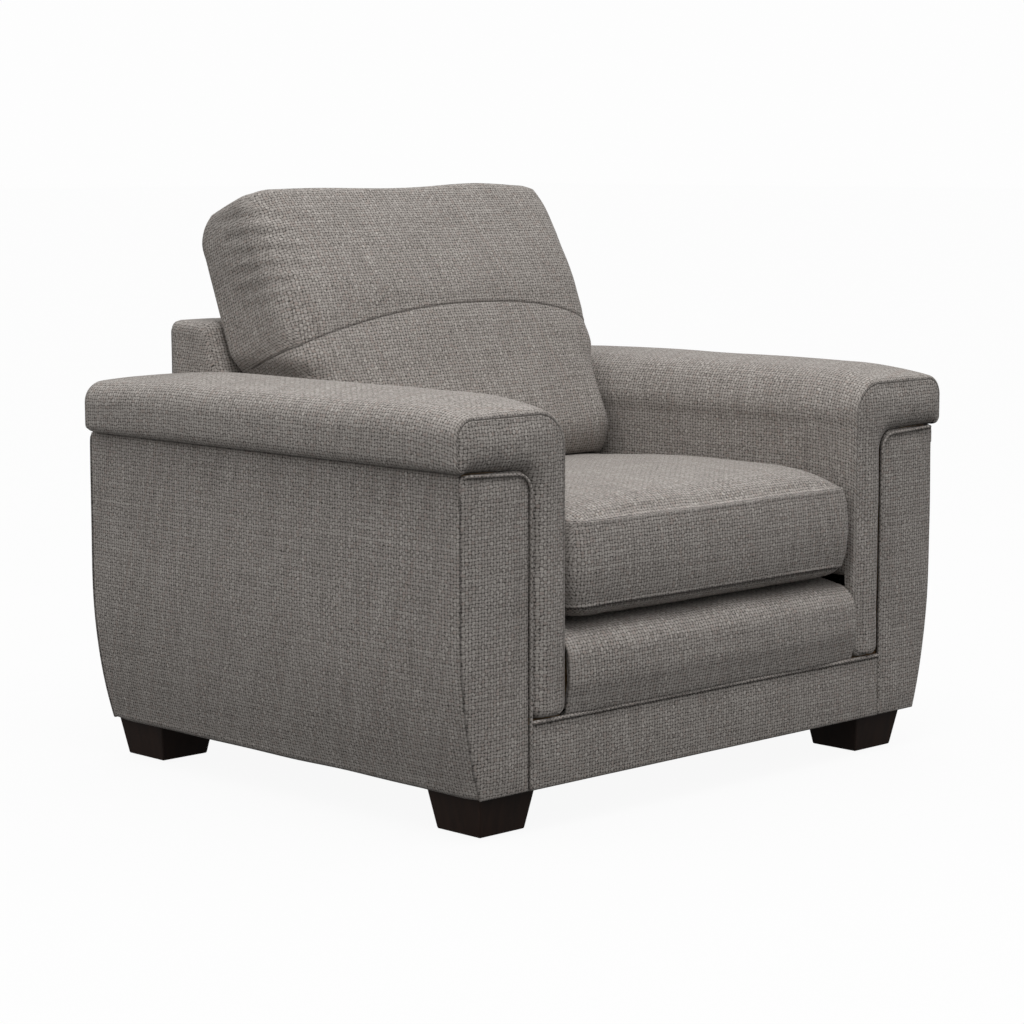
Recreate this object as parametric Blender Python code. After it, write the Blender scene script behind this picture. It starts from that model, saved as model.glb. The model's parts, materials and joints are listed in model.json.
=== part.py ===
"""Upholstered armchair with a loose seat cushion and a loose back cushion.

Metres, +Z up, front towards -Y, +X to the right as seen from the front (the sitter's left).
Names with left and right are as seen from the front, too.
The origin is on the floor, under the centre of the chair's box.
"""

import math

import bmesh
import bpy

# ---- driving dimensions ----
WIDTH = 1.100                 # over the two arm pads
REAR = 0.445                  # rear face of the back, and minus this is the front border's crown
ARM_FRONT = -0.437            # plane of the arm fronts and of the kick panel
ARM_REAR = 0.433              # rear face of the arms
ARM_INNER = 0.330             # inner face of an arm pad
ARM_OUTER = 0.534             # outer face of an outer arm panel, above the tumblehome
PANEL_INNER = 0.401           # inner edge of an arm front panel
ARM_TOP = 0.5335              # underside of an arm pad
PAD_SEAM = 0.614              # top seam round an arm pad's front face
PAD_CROWN = 0.636             # highest line of an arm pad
BODY_BOTTOM = 0.0645          # lower edge of the upholstered body
KICK_TOP = 0.168              # top of the kick panel's welt
DECK_TOP = 0.2965             # what the seat cushion rests on
SEAT_SEAM = 0.441             # seat cushion's upper seam
SEAT_CROWN = 0.046            # how far the seat cushion swells above that seam
SEAT_FRONT = -0.440           # front of the seat cushion
SEAT_REAR = 0.172             # rear of the seat cushion
BACK_CUSHION_FOOT = 0.4730    # underside of the back cushion
BACK_CUSHION_TOP = 0.937      # its top, measured up along the recline
BACK_CUSHION_THICK = 0.160    # its thickness at the seams
BACK_FRAME_TOP = 0.7046       # top of the upholstered back frame
BACK_HALF = 0.363             # half width of the back frame above the arms
RECLINE = math.radians(21.0)  # lean of the back
BACK_FOOT = 0.065             # y at which the back's front plane would meet the floor
TUMBLE = 0.038                # how far the body's sides come in at the bottom
TUMBLE_START = 0.320          # height at which they begin to
LEG_X = 0.4265                # centre of a leg
LEG_FRONT = -0.360
LEG_REAR = 0.3765
LEG_FOOT = 0.045              # half width of a leg at the floor
LEG_HEAD = 0.056              # half width of a leg at its top
GAP = 0.0005                  # between pieces that touch
SKIN = 0.003                  # sewn cover and its lining

# ---- frame timber and small parts ----
RAIL = 0.025                  # thickness of a rail
FRAME_BOTTOM = BODY_BOTTOM + 0.0015
RAIL_TOP = 0.262              # top of the seat rails, under the springs
FRONT_RAIL_HALF = 0.4045      # half length of the front rail, between the arm posts
FRONT_RAIL_LOW = 0.072        # underside of the front rail
FRONT_RAIL_Y = ARM_FRONT + 0.017
SIDE_RAIL_LOW = 0.170         # underside of the side rails
SIDE_RAIL_REAR = 0.4195
BACK_RAIL_LOW = 0.180         # underside of the back rail
BACK_RAIL_Y = 0.388
CROSS_HALF = 0.298            # half length of the three rails between the back posts
ARM_RAIL_LOW = 0.505          # underside of an arm's top rail, and top of its posts
POST_DEPTH = 0.030            # from an arm's end panel to the far face of the post behind it
BOARD_DEPTH = 0.026           # a back post's raked edge, behind the back's front plane
BOARD_BEND = 0.300            # height at which that edge turns down
BOARD_FRONT = 0.340           # y of the edge below it
BACK_RAIL_NEAR = 0.033        # the rails in the back: depth of their front face
BACK_RAIL_FAR = 0.055         # and of their rear face
LOWER_RAIL = (0.320, 0.365)   # heights of the back's lower rail
TOP_RAIL_TALL = 0.045
BLOCK_IN, BLOCK_OUT = 0.372, 0.480
BLOCK_FRONT = (-0.3945, -0.305)
BLOCK_REAR = (0.305, 0.389)
BLOCK_TOP = 0.108
POST_IN = 0.405               # arm posts, from here
POST_OUT = 0.480              # to here
STILE_IN = 0.2985             # back posts, from here
STILE_OUT = 0.3235            # to here
FACING = 0.012                # padded panel over the arm ends
SHEET = 0.010                 # padded panel over the arm sides
WIRE = 0.0019                 # radius of a spring's wire
SPRING_SWING = 0.024          # how far a spring's wire swings to each side
SPRING_SPACING = 0.150
SEAT_SPRINGS, SEAT_WAVES, SEAT_RISE = 4, 8, 0.004
SEAT_SPRING_ENDS = (-0.410, 0.404)
BACK_SPRINGS, BACK_WAVES = 3, 5
WAVE_POINTS, WAVE_FLAT = 8, 0.8
BACK_SPRING_ENDS = (0.335, 0.675)
BACK_SPRING_DEPTH = 0.0305    # of the wire, behind the back's front plane
BOLT = 0.004                  # radius of a hanger bolt
BORE_CLEARANCE = 0.0003       # round a bolt
BOLT_LOW, BOLT_HIGH = 0.0310, 0.0990
OVERRUN = 0.010               # how far a cutter goes past the face it opens
GLIDE_RADIUS, GLIDE_THICK = 0.018, 0.0022

# ---- covers ----
DECK_LOW = 0.272              # underside of the padded deck
DECK_CLEAR = 0.003            # between the deck and an arm
DECK_FRONT, DECK_WAIST, DECK_REAR = -0.3655, 0.1800, 0.385
PANEL_DROP = 0.002            # top edge of an arm's end panels, below the pad
PANEL_ROUND_OUT = 0.015       # radius of their outer top corner
PANEL_ROUND_IN = 0.030        # radius of their inner top corner
PAD_ROUNDS = (0.012, 0.032, 0.052)  # an arm pad's lower edge, upper edge and inner shoulder
PAD_TOP_OUT, PAD_TOP_IN = 0.505, 0.372
# along an arm pad: (y, how far it is crowned)
PAD_STATIONS = (
    (ARM_FRONT, 0.0),
    (ARM_FRONT + 0.012, 0.45),
    (ARM_FRONT + 0.040, 0.80),
    (ARM_FRONT + 0.090, 1.0),
    (0.350, 1.0),
    (0.395, 0.75),
    (0.4285, 0.0),
)
WELT_WIDE, WELT_PROUD = 0.006, 0.003
WELT_BEND = 0.026             # how far the arm welt's inner corner is cut off
KICK_THICK = 0.0165
KICK_WELT_TALL = 0.0075
SOFT = 0.003                  # rounding of a panel's edges
CROWN_POWER = 2.6             # how full a cushion's swelling is
BACK_ROUND = 0.022            # rounding of the back's top corners
BACK_THICK = 0.025            # padding on the back frame's front
OUTSIDE_THICK = 0.008         # outside back panel
TUMBLE_STEPS, TUMBLE_POWER = 7, 2.2

FABRIC = ("fabric", (0.33, 0.295, 0.265), 0.92, 0.0)
LINING = ("lining", (0.05, 0.048, 0.046), 0.95, 0.0)
FOAM = ("foam", (0.78, 0.74, 0.60), 0.95, 0.0)
TIMBER = ("timber", (0.55, 0.38, 0.22), 0.60, 0.0)
ESPRESSO = ("espresso", (0.030, 0.016, 0.010), 0.35, 0.0)
STEEL = ("steel", (0.55, 0.55, 0.56), 0.40, 0.9)
NYLON = ("nylon", (0.10, 0.09, 0.08), 0.55, 0.0)


# ---- building blocks ----
def finish(mesh_object, look):
    """Gives an object a material of its own."""
    kind, colour, roughness, metallic = look
    made = bpy.data.materials.new(f"{mesh_object.name}_{kind}")
    made.use_nodes = True
    shader = made.node_tree.nodes["Principled BSDF"]
    shader.inputs["Base Color"].default_value = (*colour, 1.0)
    shader.inputs["Roughness"].default_value = roughness
    shader.inputs["Metallic"].default_value = metallic
    mesh_object.data.materials.append(made)
    return mesh_object


def solid(name, shape, look):
    """A named object from a closed bmesh, with its faces turned outwards."""
    bmesh.ops.recalc_face_normals(shape, faces=shape.faces[:])
    mesh = bpy.data.meshes.new(name)
    shape.to_mesh(mesh)
    shape.free()
    made = bpy.data.objects.new(name, mesh)
    bpy.context.scene.collection.objects.link(made)
    return finish(made, look)


def loft(name, rings, look):
    """A solid through rings of the same number of points, closed by a flat face at each end."""
    shape = bmesh.new()
    rows = [[shape.verts.new(point) for point in ring] for ring in rings]
    for near, far in zip(rows, rows[1:]):
        for i in range(len(near)):
            j = (i + 1) % len(near)
            shape.faces.new((near[i], near[j], far[j], far[i]))
    shape.faces.new(rows[0])
    shape.faces.new(rows[-1])
    return solid(name, shape, look)


def prism(name, outline, across, low, high, look):
    """An outline of two-number points, extruded along the axis named by across."""
    place = {
        "x": lambda a, b, t: (t, a, b),
        "y": lambda a, b, t: (a, t, b),
        "z": lambda a, b, t: (a, b, t),
    }[across]
    return loft(name, [[place(a, b, t) for a, b in outline] for t in (low, high)], look)


def block(name, x, y, z, look):
    """A box between pairs of limits."""
    return prism(name, [(x[0], z[0]), (x[1], z[0]), (x[1], z[1]), (x[0], z[1])], "y", *y, look)


def soften(target, width, steps=2, angle=30.0):
    """Rounds the sharp edges of an object."""
    bevel = target.modifiers.new("Round", "BEVEL")
    bevel.width = width
    bevel.segments = steps
    bevel.limit_method = "ANGLE"
    bevel.angle_limit = math.radians(angle)
    return target


def cut(target, cutter):
    """Takes a cutter out of an object."""
    cutter.hide_render = True
    cutter.display_type = "WIRE"
    difference = target.modifiers.new("Cut", "BOOLEAN")
    difference.operation = "DIFFERENCE"
    difference.object = cutter
    return target


def arc(centre, radius, start, end, steps):
    """Points along an arc, both ends included, with angles in degrees."""
    angles = [math.radians(start + (end - start) * i / steps) for i in range(steps + 1)]
    return [
        (centre[0] + radius * math.cos(a), centre[1] + radius * math.sin(a)) for a in angles
    ]


def flipped(outline, side):
    """An outline drawn for +X, moved to the side given by +1 or -1."""
    return [(side * a, b) for a, b in outline]


def outer_x(height):
    """Half width of the body's outer face at a height: straight, then curving in to the floor."""
    drop = max(0.0, TUMBLE_START - height) / (TUMBLE_START - BODY_BOTTOM)
    return ARM_OUTER - TUMBLE * drop**TUMBLE_POWER


def back_plane(height, depth=0.0):
    """y of the plane that lies a depth behind the back's front plane, at a height."""
    return BACK_FOOT + height * math.tan(RECLINE) + depth / math.cos(RECLINE)


def side_heights(top):
    """Heights at which the tumblehome is drawn, from the bottom up."""
    rise = (TUMBLE_START - BODY_BOTTOM) / TUMBLE_STEPS
    return [*(BODY_BOTTOM + rise * i for i in range(TUMBLE_STEPS + 1)), top]


SIDES = (("left", -1), ("right", 1))
CORNERS = [
    (f"{end}_{hand}", side * LEG_X, along)
    for end, along in (("front", LEG_FRONT), ("rear", LEG_REAR))
    for hand, side in SIDES
]


# ---- timber frame ----
def seat_frame():
    """The four rails round the seat."""
    front = (FRONT_RAIL_Y, FRONT_RAIL_Y + RAIL)
    across = (-FRONT_RAIL_HALF, FRONT_RAIL_HALF)
    block("front_rail", across, front, (FRONT_RAIL_LOW, RAIL_TOP), TIMBER)
    rear = (BACK_RAIL_Y, BACK_RAIL_Y + RAIL)
    block("back_rail", (-CROSS_HALF, CROSS_HALF), rear, (BACK_RAIL_LOW, RAIL_TOP), TIMBER)
    along = (front[1] + GAP, SIDE_RAIL_REAR)
    for hand, side in SIDES:
        across = sorted((side * (STILE_OUT + GAP), side * (STILE_OUT + RAIL)))
        block(f"side_rail_{hand}", across, along, (SIDE_RAIL_LOW, RAIL_TOP), TIMBER)


def arm_frame():
    """Two posts and a top rail in each arm."""
    for hand, side in SIDES:
        across = sorted((side * POST_IN, side * POST_OUT))
        front = (ARM_FRONT + FACING + GAP, ARM_FRONT + FACING + POST_DEPTH)
        rear = (ARM_REAR - FACING - POST_DEPTH, ARM_REAR - FACING - GAP)
        block(f"arm_front_post_{hand}", across, front, (FRAME_BOTTOM, ARM_RAIL_LOW), TIMBER)
        block(f"arm_rear_post_{hand}", across, rear, (FRAME_BOTTOM, ARM_RAIL_LOW), TIMBER)
        top = (ARM_RAIL_LOW + GAP, ARM_TOP - GAP)
        wide = sorted((side * POST_IN, side * (ARM_OUTER - SHEET - GAP)))
        block(f"arm_top_rail_{hand}", wide, (front[0], rear[1]), top, TIMBER)


def back_frame():
    """Two sawn boards with a raked front edge, joined by an upper and a lower rail."""
    top = BACK_FRAME_TOP - BACK_ROUND - GAP
    rear = REAR - OUTSIDE_THICK - 2 * GAP
    board = [
        (rear, FRAME_BOTTOM),
        (rear, top),
        (back_plane(top, BOARD_DEPTH), top),
        (back_plane(BOARD_BEND, BOARD_DEPTH), BOARD_BEND),
        (BOARD_FRONT, BOARD_BEND),
        (BOARD_FRONT, FRAME_BOTTOM),
    ]
    for hand, side in SIDES:
        across = sorted((side * STILE_IN, side * STILE_OUT))
        prism(f"back_post_{hand}", board, "x", *across, TIMBER)
    rails = (("back_top_rail", top - TOP_RAIL_TALL, top), ("back_lower_rail", *LOWER_RAIL))
    for name, low, high in rails:
        outline = [
            (back_plane(low, BACK_RAIL_NEAR), low),
            (back_plane(low, BACK_RAIL_FAR), low),
            (back_plane(high, BACK_RAIL_FAR), high),
            (back_plane(high, BACK_RAIL_NEAR), high),
        ]
        prism(name, outline, "x", -CROSS_HALF, CROSS_HALF, TIMBER)


def corner_blocks():
    """Blocks at the bottom corners, bored for the legs' hanger bolts."""
    for name, x, y in CORNERS:
        side = math.copysign(1, x)
        across = sorted((side * BLOCK_IN, side * BLOCK_OUT))
        along = BLOCK_FRONT if y < 0 else BLOCK_REAR
        made = block(f"corner_block_{name}", across, along, (FRAME_BOTTOM, BLOCK_TOP), TIMBER)
        cut(made, bore(f"block_bore_{name}", x, y, FRAME_BOTTOM - OVERRUN, BOLT_HIGH + 2 * GAP))


# ---- springs and deck ----
def sinuous(name, start, end, waves, rise):
    """A zigzag wire between two points: it swings from side to side, and arches by rise."""
    curve = bpy.data.curves.new(name, "CURVE")
    curve.dimensions = "3D"
    curve.bevel_depth = WIRE
    curve.bevel_resolution = 0
    curve.use_fill_caps = True
    count = waves * WAVE_POINTS + 1
    spline = curve.splines.new("POLY")
    spline.points.add(count - 1)
    for i, point in enumerate(spline.points):
        t = i / (count - 1)
        wave = math.sin(2 * math.pi * waves * t)
        here = [a + (b - a) * t for a, b in zip(start, end)]
        here[0] += SPRING_SWING * max(-WAVE_FLAT, min(WAVE_FLAT, wave)) / WAVE_FLAT
        here[2] += rise * math.sin(math.pi * t)
        point.co = (*here, 1.0)
    made = bpy.data.objects.new(name, curve)
    bpy.context.scene.collection.objects.link(made)
    return finish(made, STEEL)


def springs():
    """Zigzag springs under the seat and in the back."""
    height = RAIL_TOP + WIRE + GAP
    for i in range(SEAT_SPRINGS):
        x = SPRING_SPACING * (i - (SEAT_SPRINGS - 1) / 2)
        start, end = [(x, y, height) for y in SEAT_SPRING_ENDS]
        sinuous(f"seat_spring_{i + 1}", start, end, SEAT_WAVES, SEAT_RISE)
    for i in range(BACK_SPRINGS):
        x = SPRING_SPACING * (i - (BACK_SPRINGS - 1) / 2)
        start, end = [(x, back_plane(z, BACK_SPRING_DEPTH), z) for z in BACK_SPRING_ENDS]
        sinuous(f"back_spring_{i + 1}", start, end, BACK_WAVES, 0.0)


def deck():
    """Padded cloth over the seat springs, narrower where it passes between the back posts."""
    wide, narrow = ARM_INNER - DECK_CLEAR, STILE_IN - GAP
    front, waist, rear = DECK_FRONT, DECK_WAIST, DECK_REAR
    half = [(wide, front), (wide, waist), (narrow, waist), (narrow, rear)]
    outline = half + flipped(half, -1)[::-1]
    prism("seat_deck", outline, "z", DECK_LOW, DECK_TOP, LINING)


# ---- upholstered body ----
def outer_arm_panels():
    """The outer sides of the arms, which curve in towards the floor."""
    heights = side_heights(ARM_TOP - 2 * GAP)
    for hand, side in SIDES:
        outline = [(outer_x(z), z) for z in heights]
        outline += [(outer_x(z) - SHEET, z) for z in reversed(heights)]
        along = (ARM_FRONT + FACING + GAP, ARM_REAR - FACING - GAP)
        prism(f"outer_arm_panel_{hand}", flipped(outline, side), "y", *along, FABRIC)


def end_outline(inner):
    """Outline of the padded panel over an arm's end: rounded at the top, curving in below."""
    out, round_in, top = PANEL_ROUND_OUT, PANEL_ROUND_IN, ARM_TOP - PANEL_DROP
    outline = [(outer_x(z), z) for z in side_heights(top - out - 0.003)]
    outline += arc((ARM_OUTER - out, top - out), out, 15, 90, 3)
    outline += arc((inner + round_in, top - round_in), round_in, 90, 180, 4)
    outline.append((inner, BODY_BOTTOM))
    return outline


def arm_end_panels():
    """The padded panels over the front and the rear end of each arm."""
    for hand, side in SIDES:
        front = prism(
            f"arm_front_panel_{hand}", flipped(end_outline(PANEL_INNER), side), "y",
            ARM_FRONT, ARM_FRONT + FACING, FABRIC,
        )
        soften(front, SOFT, 1)
        rear = prism(
            f"arm_rear_panel_{hand}", flipped(end_outline(BACK_HALF + GAP), side), "y",
            ARM_REAR - FACING, ARM_REAR, FABRIC,
        )
        soften(rear, SOFT, 1)


def arm_front_welts():
    """The double piping over the seam between an arm's front panel and its pad."""
    top, seam, low = ARM_TOP - PANEL_DROP, PANEL_INNER - 2 * GAP, KICK_TOP + 2 * GAP
    end = ARM_OUTER - 0.004
    outline = [(end, top + WELT_WIDE), (seam - WELT_WIDE, top + WELT_WIDE), (seam - WELT_WIDE, low)]
    outline += [(seam, low), (seam, top - WELT_BEND), (seam + WELT_BEND, top), (end, top)]
    along = (ARM_FRONT - WELT_PROUD - GAP, ARM_FRONT - GAP)
    for hand, side in SIDES:
        prism(f"arm_front_welt_{hand}", flipped(outline, side), "y", *along, FABRIC)


def pad_outline(rise):
    """Section through an arm pad. rise is 0 at its front seam and 1 where it is fully crowned."""
    half, low, seam = WIDTH / 2, KICK_TOP + 2 * GAP, PANEL_INNER - 2 * GAP
    crown = PAD_SEAM + (PAD_CROWN - PAD_SEAM) * rise
    under, upper, inner = PAD_ROUNDS
    outline = arc((half - under, ARM_TOP + under), under, -90, 0, 2)
    outline += arc((half - upper, PAD_SEAM - upper), upper, 0, 72, 4)
    for step in (0.2, 0.4, 0.6, 0.8):
        x = PAD_TOP_OUT + (PAD_TOP_IN - PAD_TOP_OUT) * step
        bulge = math.sin(math.pi * (0.08 + 0.84 * step))
        outline.append((x, PAD_SEAM + (crown - PAD_SEAM) * bulge))
    outline += arc((ARM_INNER + inner, PAD_SEAM - inner - 0.006), inner, 102, 180, 5)
    outline += [(ARM_INNER, low), (seam, low), (seam, ARM_TOP)]
    return outline


def arm_pads():
    """The padded roll over each arm. It carries on down the arm's inner side and its front edge."""
    under = (ARM_FRONT + KICK_THICK, REAR + OVERRUN), (KICK_TOP - OVERRUN, DECK_TOP + 3 * GAP)
    behind = (ARM_REAR - FACING - GAP, REAR + OVERRUN), (DECK_TOP - OVERRUN, ARM_TOP)
    for hand, side in SIDES:
        rings = [[(side * x, y, z) for x, z in pad_outline(rise)] for y, rise in PAD_STATIONS]
        made = loft(f"arm_pad_{hand}", rings, FABRIC)
        across = sorted((side * (ARM_INNER - OVERRUN), side * (PANEL_INNER + OVERRUN)))
        cut(made, block(f"pad_cutter_{hand}", across, *under, FOAM))
        cut(made, block(f"pad_trim_{hand}", across, *behind, FOAM))


def front_border():
    """The padded band below the seat cushion, rolled back over the front rail."""
    low, high = KICK_TOP + GAP, DECK_TOP - 4 * GAP
    crown, lap = -REAR, high - 0.0265
    outline = [
        (ARM_FRONT, low),
        (crown + 0.002, low + 0.020),
        (crown, low + 0.050),
        (crown, high - 0.045),
        (crown + 0.003, high - 0.022),
        (crown + 0.012, high - 0.006),
        (crown + 0.028, high),
        (DECK_FRONT - GAP, high),
        (DECK_FRONT - GAP, lap),
        (ARM_FRONT + KICK_THICK, lap),
        (ARM_FRONT + KICK_THICK, low),
    ]
    prism("front_border", outline, "x", -(ARM_INNER - GAP), ARM_INNER - GAP, FABRIC)


def kick_panel():
    """The plain panel at the foot of the front, and the welt along its top edge."""
    half, top = PANEL_INNER - 2 * GAP, KICK_TOP - GAP
    welt_low = top - KICK_WELT_TALL
    along = (ARM_FRONT, ARM_FRONT + KICK_THICK)
    panel = block("kick_panel", (-half, half), along, (BODY_BOTTOM, welt_low - 0.0003), FABRIC)
    soften(panel, SOFT, 1)
    along = (ARM_FRONT - 0.0025, ARM_FRONT + FACING)
    block("kick_welt", (-half, half), along, (welt_low, top), FABRIC)


def back_corner():
    """The back's rounded top corner, from its side to its top."""
    centre = (BACK_HALF - BACK_ROUND, BACK_FRAME_TOP - BACK_ROUND)
    return arc(centre, BACK_ROUND, 0, 90, 4)


def back_cover():
    """Padding and fabric over the back frame: narrow between the arms, wide above them."""
    narrow, wide = ARM_INNER - 2 * GAP, BACK_HALF
    foot, shoulder = DECK_TOP + GAP, PAD_CROWN + 0.006
    half = [(narrow, foot), (narrow, shoulder), (wide, shoulder), *back_corner()]
    outline = half + flipped(half, -1)[::-1]
    made = prism("back_cover", outline, "y", 0.100, REAR - OUTSIDE_THICK - GAP, FABRIC)
    # cutters that reach past the cover on every side but the one they shape
    low, high, front = -0.2, 1.0, -0.2
    slope = [(front, low), (back_plane(low), low), (back_plane(high), high), (front, high)]
    cut(made, prism("back_cover_slope", slope, "x", -0.5, 0.5, FABRIC))
    top, low, rear = BACK_FRAME_TOP - BACK_ROUND, 0.2, 0.5
    hollow = [(back_plane(low, BACK_THICK), low), (rear, low), (rear, top)]
    hollow.append((back_plane(top, BACK_THICK), top))
    cut(made, prism("back_cover_hollow", hollow, "x", -STILE_OUT - GAP, STILE_OUT + GAP, FABRIC))


def outside_back():
    """The plain panel that closes the back."""
    half = [(BACK_HALF, BODY_BOTTOM), *back_corner()]
    outline = half + flipped(half, -1)[::-1]
    soften(prism("outside_back", outline, "y", REAR - OUTSIDE_THICK, REAR, FABRIC), SOFT, 1)


def dust_cover():
    """Cloth under the frame, cut away round the legs."""
    low, thick, clear = BODY_BOTTOM - 2 * GAP, 0.0012, LEG_HEAD + 0.003
    wide, notch_x = 0.478, LEG_X - clear
    front, rear = ARM_FRONT + 0.020, ARM_REAR - 0.015
    front_notch, rear_notch = LEG_FRONT + clear, LEG_REAR - clear
    half = [(notch_x, front), (notch_x, front_notch), (wide, front_notch)]
    half += [(wide, rear_notch), (notch_x, rear_notch), (notch_x, rear)]
    outline = half + flipped(half, -1)[::-1]
    prism("dust_cover", outline, "z", low, low + thick, LINING)


# ---- legs ----
def bore(name, x, y, low, high):
    """A cutter for a bolt's hole."""
    return cylinder(name, x, y, BOLT + BORE_CLEARANCE, low, high, STEEL)


def cylinder(name, x, y, radius, low, high, look, sides=12):
    """An upright round bar."""
    turn = [2 * math.pi * i / sides for i in range(sides)]
    outline = [(x + radius * math.cos(a), y + radius * math.sin(a)) for a in turn]
    return prism(name, outline, "z", low, high, look)


def legs():
    """Four tapered legs, each with its hanger bolt and the glide under it."""
    foot, head = GLIDE_THICK + 0.0003, BODY_BOTTOM - 0.0002
    for name, x, y in CORNERS:
        rings = [
            [(x + r * a, y + r * b, z) for a, b in ((-1, -1), (1, -1), (1, 1), (-1, 1))]
            for r, z in ((LEG_FOOT, foot), (LEG_HEAD, head))
        ]
        made = soften(loft(f"leg_{name}", rings, ESPRESSO), 0.0025, 2)
        cut(made, bore(f"leg_bore_{name}", x, y, BOLT_LOW - GAP, head + OVERRUN))
        cylinder(f"leg_bolt_{name}", x, y, BOLT, BOLT_LOW, BOLT_HIGH, STEEL)
        cylinder(f"leg_glide_{name}", x, y, GLIDE_RADIUS, 0.0, GLIDE_THICK, NYLON, 20)


# ---- cushions ----
def pillow(name, half, thick, swell, rake, inset, look):
    """A box cushion as a grid over its six faces, on z = 0, with a top that swells in the middle.

    half: half widths across and along. thick: height of the top seam. rake: slope of the wall at
    +Y. inset: how far every wall is drawn in, for linings and fillings of the same form.
    """
    across, along, upright, corner = 12, 12, 4, 0.030
    wide, deep = half[0] - inset, half[1] - inset
    floor, seam = inset, thick - inset

    def spot(i, j, k):
        u, v, w = 2 * i / across - 1, 2 * j / along - 1, k / upright
        x, y = u * wide, v * deep
        past_x, past_y = max(0.0, abs(x) - wide + corner), max(0.0, abs(y) - deep + corner)
        trim = max(0.0, math.hypot(past_x, past_y) - corner) * 0.7072
        if trim > 0.0:
            x -= math.copysign(trim, x)
            y -= math.copysign(trim, y)
        crown = swell * (1 - abs(u) ** CROWN_POWER) * (1 - abs(v) ** CROWN_POWER)
        z = floor + (seam + crown - floor) * w
        return (x, y + rake * z * max(0.0, v), z)

    shape = bmesh.new()
    found = {}

    def vertex(i, j, k):
        if (i, j, k) not in found:
            found[i, j, k] = shape.verts.new(spot(i, j, k))
        return found[i, j, k]

    def face(*corners):
        shape.faces.new([vertex(*c) for c in corners])

    for i in range(across):
        for j in range(along):
            for k in (0, upright):
                face((i, j, k), (i + 1, j, k), (i + 1, j + 1, k), (i, j + 1, k))
    for k in range(upright):
        for i in range(across):
            for j in (0, along):
                face((i, j, k), (i + 1, j, k), (i + 1, j, k + 1), (i, j, k + 1))
        for j in range(along):
            for i in (0, across):
                face((i, j, k), (i, j + 1, k), (i, j + 1, k + 1), (i, j, k + 1))
    return solid(name, shape, look)


def wall_strip(name, wide, near, far, low, high, rake, look):
    """A strip across a cushion's wall at +Y, following its slope."""
    outline = [(y + rake * z, z) for y, z in ((near, low), (far, low), (far, high), (near, high))]
    return prism(name, outline, "x", -wide, wide, look)


def cushion(name, half, thick, swell, rake, spot, turn):
    """A sewn cover with a zip slot through its wall at +Y, the zip in the slot, and the filling."""
    low, high = 0.44 * thick, 0.56 * thick
    wide, edge, gap = half[0] * 0.86, half[1], 0.0003
    cover = pillow(f"{name}_cover", half, thick, swell, rake, 0.0, FABRIC)
    hollow = pillow(f"{name}_hollow", half, thick, swell, rake, SKIN, FABRIC)
    slot = wall_strip(f"{name}_slot", wide, edge - 3 * SKIN, edge + SKIN, low, high, rake, FABRIC)
    cut(cover, hollow)
    cut(cover, slot)
    core = pillow(f"{name}_core", half, thick, swell, rake, SKIN + GAP, FOAM)
    near, far = edge - SKIN + gap, edge - gap
    tape = wall_strip(f"{name}_zip", wide - gap, near, far, low + gap, high - gap, rake, NYLON)
    for each in (cover, hollow, slot, core, tape):
        each.location = spot
        each.rotation_euler = turn


def seat_cushion():
    """Lies flat on the deck, between the arms, and draws out to the front."""
    deep = (SEAT_REAR - SEAT_FRONT) / 2
    half = (ARM_INNER - 0.0055, deep)
    spot = (0.0, SEAT_REAR - deep, DECK_TOP + GAP)
    cushion("seat_cushion", half, SEAT_SEAM - DECK_TOP - GAP, SEAT_CROWN, 0.0, spot, (0.0, 0.0, 0.0))


def back_cushion():
    """Leans on the back with its swelling side forward and its zip down, cut level underneath."""
    foot, top, clear = BACK_CUSHION_FOOT / math.cos(RECLINE), BACK_CUSHION_TOP, 0.003
    half = (ARM_INNER - 0.003, (top - foot) / 2)
    middle = (foot + top) / 2
    spot = (
        0.0,
        BACK_FOOT + middle * math.sin(RECLINE) - clear * math.cos(RECLINE),
        middle * math.cos(RECLINE) + clear * math.sin(RECLINE),
    )
    turn = (RECLINE - math.pi / 2, 0.0, math.pi)
    cushion("back_cushion", half, BACK_CUSHION_THICK, 0.030, math.tan(RECLINE), spot, turn)


def main():
    for old in list(bpy.data.objects):
        bpy.data.objects.remove(old, do_unlink=True)
    seat_frame()
    arm_frame()
    back_frame()
    corner_blocks()
    springs()
    deck()
    outer_arm_panels()
    arm_end_panels()
    arm_front_welts()
    arm_pads()
    front_border()
    kick_panel()
    back_cover()
    outside_back()
    dust_cover()
    legs()
    seat_cushion()
    back_cushion()


main()
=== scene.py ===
"""The looks of an upholstered armchair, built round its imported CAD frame.

Metres, +Z up, the chair faces -Y. Every covered part is drawn as a grid of points whose weave map
is the length along the cloth, so that the tweed runs true on each panel.
"""

import json
import math

import bmesh
import bpy
import numpy as np
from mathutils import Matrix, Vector, noise

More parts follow.
